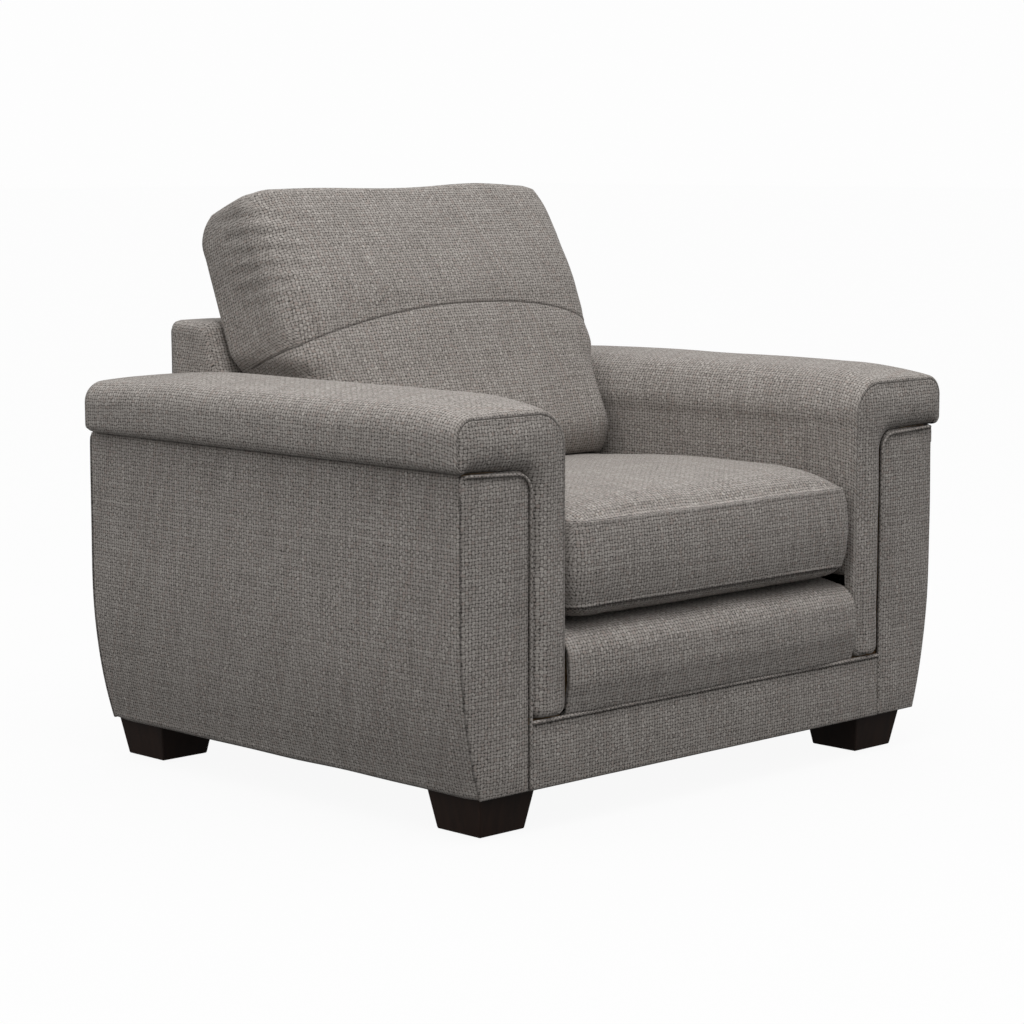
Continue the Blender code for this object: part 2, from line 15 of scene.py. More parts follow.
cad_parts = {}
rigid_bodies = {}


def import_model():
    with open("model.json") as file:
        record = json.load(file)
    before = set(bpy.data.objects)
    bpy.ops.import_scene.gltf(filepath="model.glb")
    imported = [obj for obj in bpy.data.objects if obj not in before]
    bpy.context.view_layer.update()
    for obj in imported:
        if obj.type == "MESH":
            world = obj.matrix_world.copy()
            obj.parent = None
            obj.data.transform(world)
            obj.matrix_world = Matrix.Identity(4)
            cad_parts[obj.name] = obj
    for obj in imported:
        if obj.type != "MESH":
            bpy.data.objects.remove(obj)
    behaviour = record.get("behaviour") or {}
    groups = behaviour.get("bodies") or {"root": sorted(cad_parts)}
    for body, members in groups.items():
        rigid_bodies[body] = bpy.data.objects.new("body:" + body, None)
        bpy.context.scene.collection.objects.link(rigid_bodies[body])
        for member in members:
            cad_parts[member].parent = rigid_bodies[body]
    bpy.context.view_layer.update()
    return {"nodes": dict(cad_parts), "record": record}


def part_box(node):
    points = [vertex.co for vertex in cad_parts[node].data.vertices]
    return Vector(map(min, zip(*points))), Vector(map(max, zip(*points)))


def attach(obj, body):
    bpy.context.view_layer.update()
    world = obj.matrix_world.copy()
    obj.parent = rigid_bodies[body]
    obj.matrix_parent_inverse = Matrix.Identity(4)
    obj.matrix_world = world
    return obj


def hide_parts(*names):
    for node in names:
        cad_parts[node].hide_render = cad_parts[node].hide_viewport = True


for old in list(bpy.data.objects):
    bpy.data.objects.remove(old, do_unlink=True)
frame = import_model()

# ---- sizes read from the frame ----
PAD_LOW, PAD_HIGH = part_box("arm_pad_right")
PANEL_LOW, PANEL_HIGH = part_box("arm_front_panel_right")
SIDE_LOW, SIDE_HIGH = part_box("outer_arm_panel_right")
REAR_LOW, REAR_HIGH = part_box("arm_rear_panel_right")
KICK_LOW, KICK_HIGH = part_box("kick_panel")
BORDER_LOW, BORDER_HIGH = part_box("front_border")
BACK_LOW, BACK_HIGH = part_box("back_cover")
OUTSIDE_LOW, OUTSIDE_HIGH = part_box("outside_back")
SEAT_LOW, SEAT_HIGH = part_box("seat_cushion_cover")

ARM_TOP = SIDE_HIGH.z + 0.001      # underside of the arm pads
BODY_BOTTOM = SIDE_LOW.z
ARM_OUTER = SIDE_HIGH.x
TUMBLE = ARM_OUTER - PANEL_HIGH.x + 0.038  # how far in the sides have curved at their foot
TUMBLE_START = 0.320               # height below which the sides curve in
RECLINE = math.radians(21.0)
SIN, COS = math.sin(RECLINE), math.cos(RECLINE)
BACK_FOOT = 0.065                  # y of the back's front plane at the floor
SAG = 0.0060                       # the arm pads' front ends hang this much lower at their inner side
SEAT_SEAM = 0.4470                 # height of the seat cushion's upper seam
CUT_SMALL = 0.0025                 # a cushion's cover is cut this much smaller than its filling
REAR_SINK = -0.0120                # how far the back cushion presses into the back's padding
BACK_START, BACK_END = 0.440, 0.9300  # the back cushion's foot and head, up the slope
CELL_WIDE, CELL_TALL = 0.0058, 0.0050  # one over or under of the basket weave, two yarns
WANDER = 1.40                      # how far the yarns stray, in cells
DOME_LOW, DOME_HIGH = 0.19, 1.40   # brightness of the dome at the horizon and overhead
FLOOR_BOUNCE, FLOOR_SEEN = 0.05, 0.930
SIDES = (("left", -1), ("right", 1))


# ---- small geometry ----
def ease(t):
    """From 0 to 1, with a soft start and end."""
    t = np.clip(t, 0.0, 1.0)
    return t * t * (3 - 2 * t)


def outer_x(height):
    """Half width of the body's outer face at a height."""
    drop = np.clip((TUMBLE_START - height) / (TUMBLE_START - BODY_BOTTOM), 0.0, 1.0)
    return ARM_OUTER - TUMBLE * drop**2.2


def back_plane(height):
    """y of the back's front plane at a height."""
    return BACK_FOOT + height * math.tan(RECLINE)


def rolled(distance, radius):
    """How far an edge of that radius has turned back at a distance from the edge."""
    inside = np.clip(radius - distance, 0.0, radius)
    return radius - np.sqrt(radius**2 - inside**2)


def spread(low, high, step=0.0, count=0, edge=(0.0008, 0.002, 0.004, 0.007, 0.011)):
    """Positions from low to high, a step apart or as count steps, and closer at both ends."""
    inner_low, inner_high = low + edge[-1], high - edge[-1]
    count = count or max(2, round((inner_high - inner_low) / step))
    middle = np.linspace(inner_low, inner_high, count + 1)
    ends = np.array(edge[:-1])
    return np.concatenate([[low], low + ends, middle, high - ends[::-1], [high]])


def fillet(corners, radii, step=0.002):
    """A line through corners, each inner one rounded to its radius, as closely spaced points."""
    corners = [np.array(c, float) for c in corners]
    points = [corners[0]]
    for before, corner, after, radius in zip(corners, corners[1:], corners[2:], radii):
        a = (corner - before) / np.linalg.norm(corner - before)
        b = (after - corner) / np.linalg.norm(after - corner)
        turn = math.acos(float(np.clip(a @ b, -1, 1)))
        if radius <= 0 or turn < 1e-4:
            points.append(corner)
            continue
        reach = radius * math.tan(turn / 2)
        start, sign = corner - a * reach, math.copysign(1, a[0] * b[1] - a[1] * b[0])
        centre = start + sign * radius * np.array([-a[1], a[0]])
        steps = max(3, round(radius * turn / step))
        for i in range(steps + 1):
            angle = sign * turn * i / steps
            c, s = math.cos(angle), math.sin(angle)
            x, y = start - centre
            points.append(centre + np.array([c * x - s * y, s * x + c * y]))
    points.append(corners[-1])
    return np.array(points)


def lengths(points):
    """Distance along a line at each of its points."""
    gaps = np.linalg.norm(np.diff(points, axis=0), axis=1)
    return np.concatenate([[0.0], np.cumsum(gaps)])


def even(points, count):
    """A line as count + 1 points, evenly apart."""
    along = lengths(points)
    at = np.linspace(0, along[-1], count + 1)
    return np.stack([np.interp(at, along, points[:, k]) for k in range(points.shape[1])], axis=1)


def normals_2d(points):
    """Unit normals of an open line, to the left of its run."""
    run = np.gradient(points, axis=0)
    run /= np.linalg.norm(run, axis=1)[:, None] + 1e-12
    return np.stack([-run[:, 1], run[:, 0]], axis=1)


def grid_lengths(points, axis):
    """Distance along each row or column of a grid of points."""
    gaps = np.linalg.norm(np.diff(points, axis=axis), axis=2)
    pad = [(0, 0), (0, 0)]
    pad[axis] = (1, 0)
    return np.cumsum(np.pad(gaps, pad), axis=axis)


# ---- making pieces ----
def linked(name, data):
    """A new object in the scene."""
    made = bpy.data.objects.new(name, data)
    bpy.context.scene.collection.objects.link(made)
    return made


def grid_faces(grids):
    """The points of some grids in one list, and the four-sided faces between them."""
    vertices, faces = [], []
    for points in grids:
        rows, columns = points.shape[:2]
        index = len(vertices) + np.arange(rows * columns).reshape(rows, columns)
        vertices.extend(points.reshape(-1, 3).tolist())
        quads = np.stack([index[:-1, :-1], index[:-1, 1:], index[1:, 1:], index[1:, :-1]], axis=-1)
        faces.extend(quads.reshape(-1, 4).tolist())
    return vertices, faces


def flat_weave(points, across=0, along=2):
    """A weave map that is two of a grid's coordinates."""
    return np.stack([points[:, :, across], points[:, :, along]], axis=2)


def unseamed(points):
    """No painted seam shade: zeros for a grid that has no stitches."""
    return np.zeros(points.shape[:2])


def tweed_piece(name, patches, mirror=False):
    """One object from patches, each (points, weave map, painted seam shade), joined where they meet.
    """
    vertices, faces = grid_faces([points for points, _, _ in patches])
    weave = np.concatenate([cloth.reshape(-1, 2) for _, cloth, _ in patches])
    seam_shades = np.concatenate([seam.reshape(-1) for _, _, seam in patches])
    if mirror:
        vertices = [(-x, y, z) for x, y, z in vertices]
    mesh = bpy.data.meshes.new(name)
    mesh.from_pydata(vertices, [], faces)
    layer = mesh.uv_layers.new(name="weave")
    corners = np.zeros(len(mesh.loops), np.int32)
    mesh.loops.foreach_get("vertex_index", corners)
    layer.data.foreach_set("uv", weave.astype(np.float32)[corners].ravel())
    # the seam attribute holds painted shade for the seams and cords
    seam_shading = mesh.attributes.new("seam", "FLOAT", "POINT")
    seam_shading.data.foreach_set("value", seam_shades.astype(np.float32))
    shape = bmesh.new()
    shape.from_mesh(mesh)
    bmesh.ops.remove_doubles(shape, verts=shape.verts, dist=2e-5)
    bmesh.ops.dissolve_degenerate(shape, dist=1e-6, edges=shape.edges)
    bmesh.ops.recalc_face_normals(shape, faces=shape.faces)
    shape.to_mesh(mesh)
    shape.free()
    mesh.shade_smooth()
    mesh.materials.append(TWEED)
    return linked(name, mesh)


def between(first, last, shares):
    """Lines of points from one line to another, at each share of the way."""
    return first[None] * (1 - shares)[:, None, None] + last[None] * shares[:, None, None]


def dress(piece, body, slot, *nodes):
    """Puts a piece on the body that it rides on and hides the CAD nodes that it stands for. The
    finish, slot, is not used.
    """
    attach(piece, body)
    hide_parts(*nodes)
    return piece


def seam_shade(near, strength, width):
    """How much painted shade lies along the stitched edge of a panel, at a distance from it."""
    return strength * np.exp(-(near / width) ** 2)


def shell(piece, faces_out, depth):
    """Gives an open sheet a back, so that it is a closed shell with its cloth on the outside."""
    if not faces_out:
        piece.data.flip_normals()
    solid = piece.modifiers.new("Thickness", "SOLIDIFY")
    solid.thickness = depth
    solid.offset = -1.0
    solid.use_rim = True
    return piece


def unevenness(points, amount, size, seed):
    """Smooth noise at each point of a grid, for the small hollows of stuffed cloth."""
    flat = points.reshape(-1, 3) / size + seed * 7.31
    return amount * np.array([noise.noise(Vector(p)) for p in flat]).reshape(points.shape[:2])


# ---- materials ----
class Graph:
    """Short names for building a material's nodes."""

    def __init__(self, name, roughness, metallic=0.0):
        self.material = bpy.data.materials.new(name)
        self.material.use_nodes = True
        self.tree = self.material.node_tree
        self.shader = self.tree.nodes["Principled BSDF"]
        self.shader.inputs["Roughness"].default_value = roughness
        self.shader.inputs["Metallic"].default_value = metallic

    def add(self, kind, inputs=(), **settings):
        node = self.tree.nodes.new(kind)
        for name, value in settings.items():
            setattr(node, name, value)
        for socket, value in dict(inputs).items():
            self.join(value, node.inputs[socket])
        return node

    def join(self, value, socket):
        if isinstance(value, bpy.types.NodeSocket):
            self.tree.links.new(value, socket)
        else:
            socket.default_value = value

    def math(self, operation, a, b=0.0, c=0.0, clamp=False):
        inputs = {0: a, 1: b, 2: c}
        return self.add("ShaderNodeMath", inputs, operation=operation, use_clamp=clamp).outputs[0]

    def times(self, a, b, clamp=False):
        return self.math("MULTIPLY", a, b, clamp=clamp)

    def plus(self, a, b):
        return self.math("ADD", a, b)

    def about(self, value, spread):
        """A value from 0 to 1 as a change of up to half of spread, either way."""
        return self.times(self.math("SUBTRACT", value, 0.5), spread)

    def place(self):
        """The point's place in the object, in metres."""
        return self.add("ShaderNodeTexCoord").outputs["Object"]

    def vector(self, x, y, z=0.0):
        return self.add("ShaderNodeCombineXYZ", {0: x, 1: y, 2: z}).outputs[0]

    def noise(self, where, scale, detail=2.0, rough=0.5):
        inputs = {"Vector": where, "Scale": scale, "Detail": detail, "Roughness": rough}
        return self.add("ShaderNodeTexNoise", inputs).outputs["Fac"]

    def random(self, value):
        made = self.add("ShaderNodeTexWhiteNoise", noise_dimensions="1D")
        self.join(value, made.inputs["W"])
        return made.outputs["Value"]

    def mix(self, factor, a, b):
        inputs = {0: factor, 6: a, 7: b}
        return self.add("ShaderNodeMix", inputs, data_type="RGBA").outputs[2]

    def range(self, value, low, high, to_low=0.0, to_high=1.0):
        inputs = {0: value, 1: low, 2: high, 3: to_low, 4: to_high}
        return self.add("ShaderNodeMapRange", inputs).outputs[0]

    def colour(self, value):
        self.join(value, self.shader.inputs["Base Color"])

    def bump(self, height, strength, distance):
        inputs = {"Height": height, "Strength": strength, "Distance": distance}
        made = self.add("ShaderNodeBump", inputs)
        self.join(made.outputs[0], self.shader.inputs["Normal"])


LIGHT_YARN = (0.640, 0.596, 0.556, 1)
MID_YARN = (0.430, 0.396, 0.366, 1)
DARK_YARN = (0.215, 0.190, 0.172, 1)
RUST_YARN = (0.300, 0.235, 0.205, 1)
# SHADE is the colour of painted shade: in the weave's hollows, along seams and beside cords
SHADE = (0.034, 0.030, 0.027, 1)


def tweed():
    """Basket-woven tweed: cells of two yarns, over and under by turns, with flecks, painted shade in
    the hollows between the yarns and painted shade along the seams.
    """
    g = Graph("tweed", 0.94)
    sheen = {"Sheen Weight": 0.10, "Sheen Roughness": 0.45, "Specular IOR Level": 0.18}
    for name, value in sheen.items():
        g.shader.inputs[name].default_value = value
    cloth = g.add("ShaderNodeUVMap", uv_map="weave").outputs[0]
    split = g.add("ShaderNodeSeparateXYZ", {0: cloth})
    stray = {"Vector": cloth, "Scale": 130.0, "Detail": 4.0}
    wander = g.add("ShaderNodeTexNoise", stray).outputs["Color"]
    shifts = g.add("ShaderNodeSeparateXYZ", {0: wander})

    def cells(axis, size):
        shift = g.about(shifts.outputs[axis], WANDER)
        return g.plus(g.math("DIVIDE", split.outputs[axis], size), shift)

    across, along = cells(0, CELL_WIDE), cells(1, CELL_TALL)
    column, row = g.math("FLOOR", across), g.math("FLOOR", along)
    in_u, in_v = g.math("FRACT", across), g.math("FRACT", along)
    arches = [g.math("SINE", g.times(at, math.pi)) for at in (in_u, in_v)]
    two_yarns = [g.math("ABSOLUTE", g.math("SINE", g.times(at, 2 * math.pi))) for at in (in_u, in_v)]
    turn = g.math("MODULO", g.math("ABSOLUTE", g.plus(column, row)), 2.0)
    is_weft = g.math("GREATER_THAN", turn, 0.5)

    def either(warp, weft):
        """One value where the warp lies on top and another where the weft does."""
        inputs = {0: is_weft, 2: warp, 3: weft}
        return g.add("ShaderNodeMix", inputs, data_type="FLOAT").outputs[0]

    sink_u, sink_v = (g.math("SUBTRACT", 1.0, g.math("POWER", arch, 0.95)) for arch in arches)
    sunk_warp = g.times(sink_u, g.math("MULTIPLY_ADD", sink_v, 0.50, 0.50))
    sunk_weft = g.times(sink_v, g.math("MULTIPLY_ADD", sink_u, 0.50, 0.50))
    dome = g.math("SUBTRACT", 1.0, either(sunk_warp, sunk_weft))
    yarns = either(*(g.math("POWER", yarn, 0.7) for yarn in two_yarns))
    height = g.times(dome, g.math("MULTIPLY_ADD", yarns, 0.36, 0.64))

    # each yarn has its own tone, which changes slowly along it, and its own flecks
    slub_warp = g.noise(g.vector(g.times(column, 0.73), g.times(along, 0.06)), 1.0, 1.0)
    slub_weft = g.noise(g.vector(g.times(across, 0.06), g.times(row, 0.73), 5.0), 1.0, 1.0)
    slub = g.math("SUBTRACT", either(slub_warp, slub_weft), 0.5)
    speck = g.random(g.plus(g.times(column, 17.13), g.times(row, 5.71)))
    half_yarn = g.math("FLOOR", g.times(either(in_u, in_v), 2.0))
    strand = g.random(g.plus(g.times(half_yarn, 0.41), g.times(either(column, row), 3.3)))
    fibres = g.noise(cloth, 800.0, 3.0, 0.7)
    tone = g.math("MULTIPLY_ADD", slub, 0.55, either(0.56, 0.44))
    for fleck, strength in ((speck, 0.22), (strand, 0.14), (fibres, 1.00)):
        tone = g.plus(tone, g.about(fleck, strength))
    yarn = g.mix(g.range(tone, 0.10, 0.50), DARK_YARN, MID_YARN)
    yarn = g.mix(g.range(tone, 0.50, 0.90), yarn, LIGHT_YARN)
    yarn = g.mix(g.times(g.math("GREATER_THAN", speck, 0.90), 0.45), yarn, RUST_YARN)
    # painted shade in the hollows between the yarns: the low parts of the weave and the gaps among the
    # fibres are mixed toward SHADE
    lit_share = g.math("MULTIPLY_ADD", g.math("SUBTRACT", fibres, 0.5), 0.70, height)
    woven = g.mix(g.range(lit_share, 0.26, 0.88, 0.03, 1.0), SHADE, yarn)
    patches = g.noise(cloth, 11.0, 3.0, 0.6)
    woven = g.mix(g.range(patches, 0.35, 0.75, 0.0, 0.12), woven, DARK_YARN)
    # painted shade along the seams and beside the cords, read from the seam attribute
    seam = g.add("ShaderNodeAttribute", attribute_name="seam").outputs["Fac"]
    g.colour(g.mix(g.times(seam, 0.85, clamp=True), woven, SHADE))
    g.bump(g.plus(height, g.times(fibres, 0.35)), 0.60, 0.0010)
    return g.material


def plain_weave(name, colour, pitch):
    """Cambric or deck cloth: fine even threads over a mottled ground."""
    g = Graph(name, 0.95)
    where = g.place()
    split = g.add("ShaderNodeSeparateXYZ", {0: where})
    turns = [g.math("SINE", g.times(split.outputs[k], 2 * math.pi / pitch)) for k in range(3)]
    threads = g.plus(turns[0], g.plus(turns[1], turns[2]))
    mottle = g.noise(where, 60.0, 3.0)
    light = tuple(min(1.0, c * 2.2) for c in colour[:3]) + (1,)
    g.colour(g.mix(g.range(mottle, 0.3, 0.7), colour, light))
    g.bump(threads, 0.3, 0.0002)
    return g.material


def foam():
    """Cut polyurethane foam: fine pores and a little yellowing."""
    g = Graph("foam", 0.95)
    where = g.place()
    pores = g.add("ShaderNodeTexVoronoi", {"Vector": where, "Scale": 420.0}).outputs["Distance"]
    g.colour(g.mix(g.noise(where, 8.0, 3.0), (0.62, 0.52, 0.32, 1), (0.78, 0.72, 0.55, 1)))
    g.bump(pores, 0.5, 0.0006)
    return g.material


def wood(name, pale, dark, roughness, coat, grain_axis, scale):
    """Straight grain along an axis, with pores, and a lacquer whose gloss wanders a little."""
    g = Graph(name, roughness)
    g.shader.inputs["Coat Weight"].default_value = coat
    g.shader.inputs["Coat Roughness"].default_value = 0.28
    where = g.place()
    stretch = [scale, scale, scale]
    stretch[grain_axis] = scale * 0.06
    streaks = g.add("ShaderNodeVectorMath", {0: where, 1: stretch}, operation="MULTIPLY").outputs[0]
    rings = g.noise(streaks, 1.0, 5.0, 0.65)
    pores = g.noise(streaks, 6.0, 2.0, 0.6)
    g.colour(g.mix(g.range(rings, 0.32, 0.68), dark, pale))
    gloss = g.range(g.noise(where, 25.0, 3.0), 0.3, 0.7, roughness - 0.06, roughness + 0.08)
    g.join(gloss, g.shader.inputs["Roughness"])
    g.bump(g.plus(rings, g.times(pores, 0.6)), 0.18, 0.0004)
    return g.material


def steel():
    """Drawn spring wire and zinc-plated bolts."""
    g = Graph("steel", 0.38, 0.9)
    where = g.place()
    stains = g.noise(where, 45.0, 4.0, 0.7)
    g.colour(g.mix(g.range(stains, 0.35, 0.7), (0.55, 0.55, 0.56, 1), (0.33, 0.31, 0.29, 1)))
    g.join(g.range(stains, 0.3, 0.7, 0.28, 0.52), g.shader.inputs["Roughness"])
    g.bump(g.noise(where, 900.0, 2.0), 0.15, 0.0002)
    return g.material


def nylon():
    """Moulded nylon: a fine pebbled grain, scuffed lighter in places."""
    g = Graph("nylon", 0.5)
    where = g.place()
    scuffs = g.noise(where, 70.0, 4.0, 0.7)
    worn = g.range(scuffs, 0.5, 0.8)
    g.colour(g.mix(worn, (0.035, 0.031, 0.028, 1), (0.10, 0.095, 0.09, 1)))
    g.join(g.range(scuffs, 0.3, 0.7, 0.42, 0.62), g.shader.inputs["Roughness"])
    g.bump(g.noise(where, 1500.0, 2.0), 0.25, 0.0002)
    return g.material


TWEED = tweed()
FOAM = foam()


def carried_over():
    """The CAD nodes whose shape stays: timber, springs, cloth linings, legs and their fittings."""
    hardwood = (0.56, 0.38, 0.21, 1), (0.40, 0.24, 0.12, 1)
    espresso = (0.0290, 0.0136, 0.0080, 1), (0.0150, 0.0072, 0.0045, 1)
    looks = {
        "lining": plain_weave("lining", (0.020, 0.019, 0.018, 1), 0.0012),
        "frame_timber": wood("timber", *hardwood, 0.62, 0.0, grain_axis=1, scale=60.0),
        "espresso_wood": wood("espresso", *espresso, 0.50, 0.02, grain_axis=2, scale=70.0),
        "steel": steel(),
        "nylon": nylon(),
    }
    for part in frame["record"]["subparts"]:
        if part["material_slot"] in looks:
            mesh = frame["nodes"][part["node"]].data
            mesh.materials.clear()
            mesh.materials.append(looks[part["material_slot"]])


# ---- arm pads ----
def pad_paths():
    """The pad's outer line and the inner line that its front band runs to, point for point.

    Both go from under the overhang, over the arm and down its inner side, to the middle of the foot.
    """
    inner, outer, foot = PAD_LOW.x, PAD_HIGH.x, PAD_LOW.z
    edge = PANEL_LOW.x - 0.001
    middle, top = (inner + edge) / 2, PAD_HIGH.z - 0.0215
    start, knee, heel = (outer - 0.018, ARM_TOP), ARM_TOP - 0.035, foot + 0.030
    outside = [start, (outer, ARM_TOP), (outer, top), (inner, top), (inner, knee)]
    inside = [start, (edge, ARM_TOP - SAG), (edge, knee)]

    def whole(over, radii, x, heel_radius):
        return np.concatenate([
            even(fillet(over, radii), 84)[:-1],
            even(np.array([(x, knee), (x, heel)]), 38)[:-1],
            even(fillet([(x, heel), (x, foot), (middle, foot)], [heel_radius]), 10),
        ])

    return whole(outside, [0.013, 0.032, 0.056], inner, 0.016), whole(inside, [0.030], edge, 0.014)


def pad_rows(front, rear, edge, turn):
    """y of each ring round the pad, and how far it is drawn in, from the front seam to the rear.

    edge is the radius of the front seam's roll, and turn that of the rear end.
    """
    rows = []
    for a in np.radians((0, 14, 32, 52, 72, 90)):
        rows.append((front + edge * (1 - math.cos(a)), edge * (1 - math.sin(a))))
    near, stop = front + edge, rear - turn
    rows += [(near + d, 0.0) for d in (0.004, 0.008)]
    rows += [(y, 0.0) for y in np.arange(near + 0.015, near + 0.120, 0.0075)]
    start = rows[-1][0]
    count = round((stop - start) / 0.012)
    rows += [(y, 0.0) for y in np.linspace(start, stop, count + 1)[1:]]
    for a in np.radians((75, 60, 45, 30, 15, 0)):
        rows.append((stop + turn * math.cos(a), turn * (1 - math.sin(a))))
    return rows


def arm_pad(hand, side):
    """The padded roll over an arm and down its inner side, closed in front by a stitched band."""
    outline, inline = pad_paths()
    inner, outer = PAD_LOW.x, PAD_HIGH.x
    front, rear = PAD_LOW.y - 0.002, PAD_HIGH.y + 0.006
    outward = normals_2d(outline)
    centre = np.array([(inner + outer) / 2, ARM_TOP])
    if np.sum(outward[20:60] * (outline[20:60] - centre)) < 0:
        outward = -outward
    top = outline[:, 1].max()
    over = np.clip((outline[:, 0] - inner) / (outer - inner), 0, 1)
    on_top = ease((outline[:, 1] - (top - 0.050)) / 0.050)
    hump = on_top * np.sin(np.pi * np.clip(over * 0.98 + 0.01, 0, 1)) ** 0.75

    def swell_to(distance, reach, power):
        """From 0 at an end of the pad to 1 at reach from it."""
        return math.sin(math.pi / 2 * min(1.0, max(0.0, distance / reach))) ** power

    def section(y, tuck, line, is_outer):
        """The pad's outer line, or the hidden line inside it, as it runs at y."""
        rise = swell_to(y - front, 0.115, 0.85) * (0.10 + 0.90 * swell_to(rear - y, 0.290, 0.9))
        spot = line.copy()
        if is_outer:
            crown = (PAD_HIGH.z + 0.0005 - top) * rise * hump
            swell = 0.0022 * rise * (1 - on_top) * ease((outline[:, 1] - ARM_TOP - 0.004) / 0.02)
            spot = spot + outward * (swell + crown - tuck)[:, None]
        points = np.stack([spot[:, 0], np.full(len(spot), y), spot[:, 1]], axis=1)
        if y > front + 0.0185:
            # behind its front band the pad ends higher up, beside the seat cushion
            raised, knee = PAD_LOW.z + 0.1295, ARM_TOP - 0.045
            low = points[:, 2] < knee
            share = (knee - points[low, 2]) / (knee - PAD_LOW.z)
            points[low, 2] = knee - share * (knee - raised)
        # below the overhang the pad ends behind the arm's rear panel
        below = 1 - ease((points[:, 2] - ARM_TOP + 0.002) / 0.010)
        points[:, 1] -= below * (rear - REAR_LOW.y + 0.001) * ease((y - rear + 0.050) / 0.050)
        return points

    rows = pad_rows(front, rear, 0.006, 0.024)
    wrap = np.array([section(y, tuck, outline, True) for y, tuck in rows])
    hidden = np.array([section(y, 0.0, inline, False) for y, tuck in rows])
    # the wrap bends and sags very slightly along its length, as stuffed cloth does
    sag = unevenness(wrap, 0.0016, 0.11, 3 + side)
    fade = ease((wrap[:, :, 1] - front - 0.02) / 0.06)
    wrap[:, :, 2] += sag * fade * on_top[None, :]
    wrap[:, :, 0] += sag * fade * (1 - on_top)[None, :] * 0.5
    seam_line = wrap[0].copy()
    # stitches draw the seam in
    wrap[0, :, 1] += 0.0016
    apex = int(np.argmax(outline[:, 1] + 0.1 * (outline[:, 0] < 0.44)))
    run = grid_lengths(wrap, 1)
    run = run - run[:, apex : apex + 1]
    lengthwise = np.broadcast_to(front + lengths(wrap[:, apex])[:, None], run.shape)
    cloth = np.stack([lengthwise, run], axis=2)
    seam = unseamed(wrap)
    # painted shade along the front seam
    seam[0] = 0.75

    shares = [0, 0.008, 0.022, 0.05, 0.10, 0.18, 0.28, 0.40, 0.52, 0.64, 0.75]
    shares = np.array([*shares, 0.83, 0.89, 0.935, 0.965, 0.985, 1.0])
    ends = hidden[0]
    width = np.linalg.norm(ends - seam_line, axis=1)
    band = between(seam_line, ends, shares)
    reach_out = shares[:, None] * width[None]
    reach_in = (1 - shares)[:, None] * width[None]
    depth = rolled(reach_in, 0.020) + rolled(reach_out, 0.0030) * 0.7
    puff = 0.0055 * ease(np.minimum(reach_in, reach_out) / 0.034)
    band[:, :, 1] = front + depth - puff + unevenness(band, 0.0012, 0.09, 11 + side)
    band[0] = wrap[0]
    turned = hidden.copy()
    turned[0] = band[-1]
    turned[:6, :, 1] = np.maximum(turned[:6, :, 1], band[-1][None, :, 1])
    band_cloth = np.stack([band[:, :, 0] + 0.31, band[:, :, 2]], axis=2)
    band_seam_shade = unseamed(band)
    # painted shade along the band's seams, at its outer and inner edges
    band_seam_shade[0], band_seam_shade[-1] = 0.75, 0.5
    rim = grid_lengths(turned, 0)
    turned_cloth = np.stack([rim, np.broadcast_to(lengths(inline), rim.shape)], axis=2)
    cap = between(wrap[-1], turned[-1], np.linspace(0, 1, 9))
    patches = [
        (wrap, cloth, seam),
        (band, band_cloth, band_seam_shade),
        (turned, turned_cloth, unseamed(turned)),
        (cap, flat_weave(cap), unseamed(cap)),
    ]
    piece = tweed_piece(f"arm_pad_skin_{hand}", patches, mirror=side < 0)
    return dress(piece, "frame", "tweed", f"arm_pad_{hand}")


# ---- flat panels ----
def panel(name, heights, left, right, face_y, facing, roll, puff, depth, seed, mirror=False):
    """A padded panel in an upright plane across the chair, between a left and a right edge.

    left and right give x at a height. Its edges roll back by roll, its middle swells by puff, and
    facing is -1 for a panel that faces the front and 1 for one that faces the rear.
    """
    low, high = heights[0], heights[-1]
    steps = max(6, round((right(low) - left(low)) / 0.009))
    across = [spread(left(z), right(z), count=steps) for z in heights]
    points = np.array([[(x, face_y, z) for x in row] for row, z in zip(across, heights)])
    sides = np.minimum(points[:, :, 0] - points[:, :1, 0], points[:, -1:, 0] - points[:, :, 0])
    ends = np.minimum(points[:, :, 2] - low, high - points[:, :, 2])
    near = np.minimum(sides, ends)
    back = rolled(np.maximum(near, 0), roll) - puff * ease(near / 0.035)
    points[:, :, 1] += -facing * back + unevenness(points, 0.0009, 0.10, seed)
    # the stitched edges carry painted seam shade
    piece = tweed_piece(name, [(points, flat_weave(points), seam_shade(near, 0.55, 0.0012))], mirror)
    count = points.shape[1]
    middle = piece.data.polygons[(len(heights) // 2) * (count - 1) + count // 2]
    return shell(piece, middle.normal.y * facing > 0, depth)


def rounding(z, radius, top):
    """How far an upright edge, rounded by radius at the top, has drawn in at a height."""
    over = max(0.0, z - (top - radius))
    return radius - math.sqrt(max(0.0, radius**2 - over**2))


def arm_end_panels(hand, side):
    """The panels that close an arm in front and behind."""
    for end, low, corner, round_in, round_out, face_y, facing, roll, puff, depth, seed in (
        ("front", PANEL_LOW.x - 0.0002, PANEL_HIGH.z, 0.028, 0.009,
         PANEL_LOW.y + 0.0030, -1, 0.0040, 0.0034, 0.007, 20),
        # the rear panel reaches in behind the outside back, and up to the pad
        ("rear", REAR_LOW.x - 0.018, PANEL_HIGH.z + 0.0050, 0.004, 0.016,
         REAR_HIGH.y - 0.001, 1, 0.0055, 0.0020, 0.008, 30),
    ):
        piece = panel(
            f"arm_{end}_skin_{hand}", spread(BODY_BOTTOM, corner, 0.009),
            lambda z: low + rounding(z, round_in, corner),
            lambda z: float(outer_x(z)) - rounding(z, round_out, corner),
            face_y, facing, roll, puff, depth, seed + side, mirror=side < 0,
        )
        dress(piece, "frame", "tweed", f"arm_{end}_panel_{hand}")


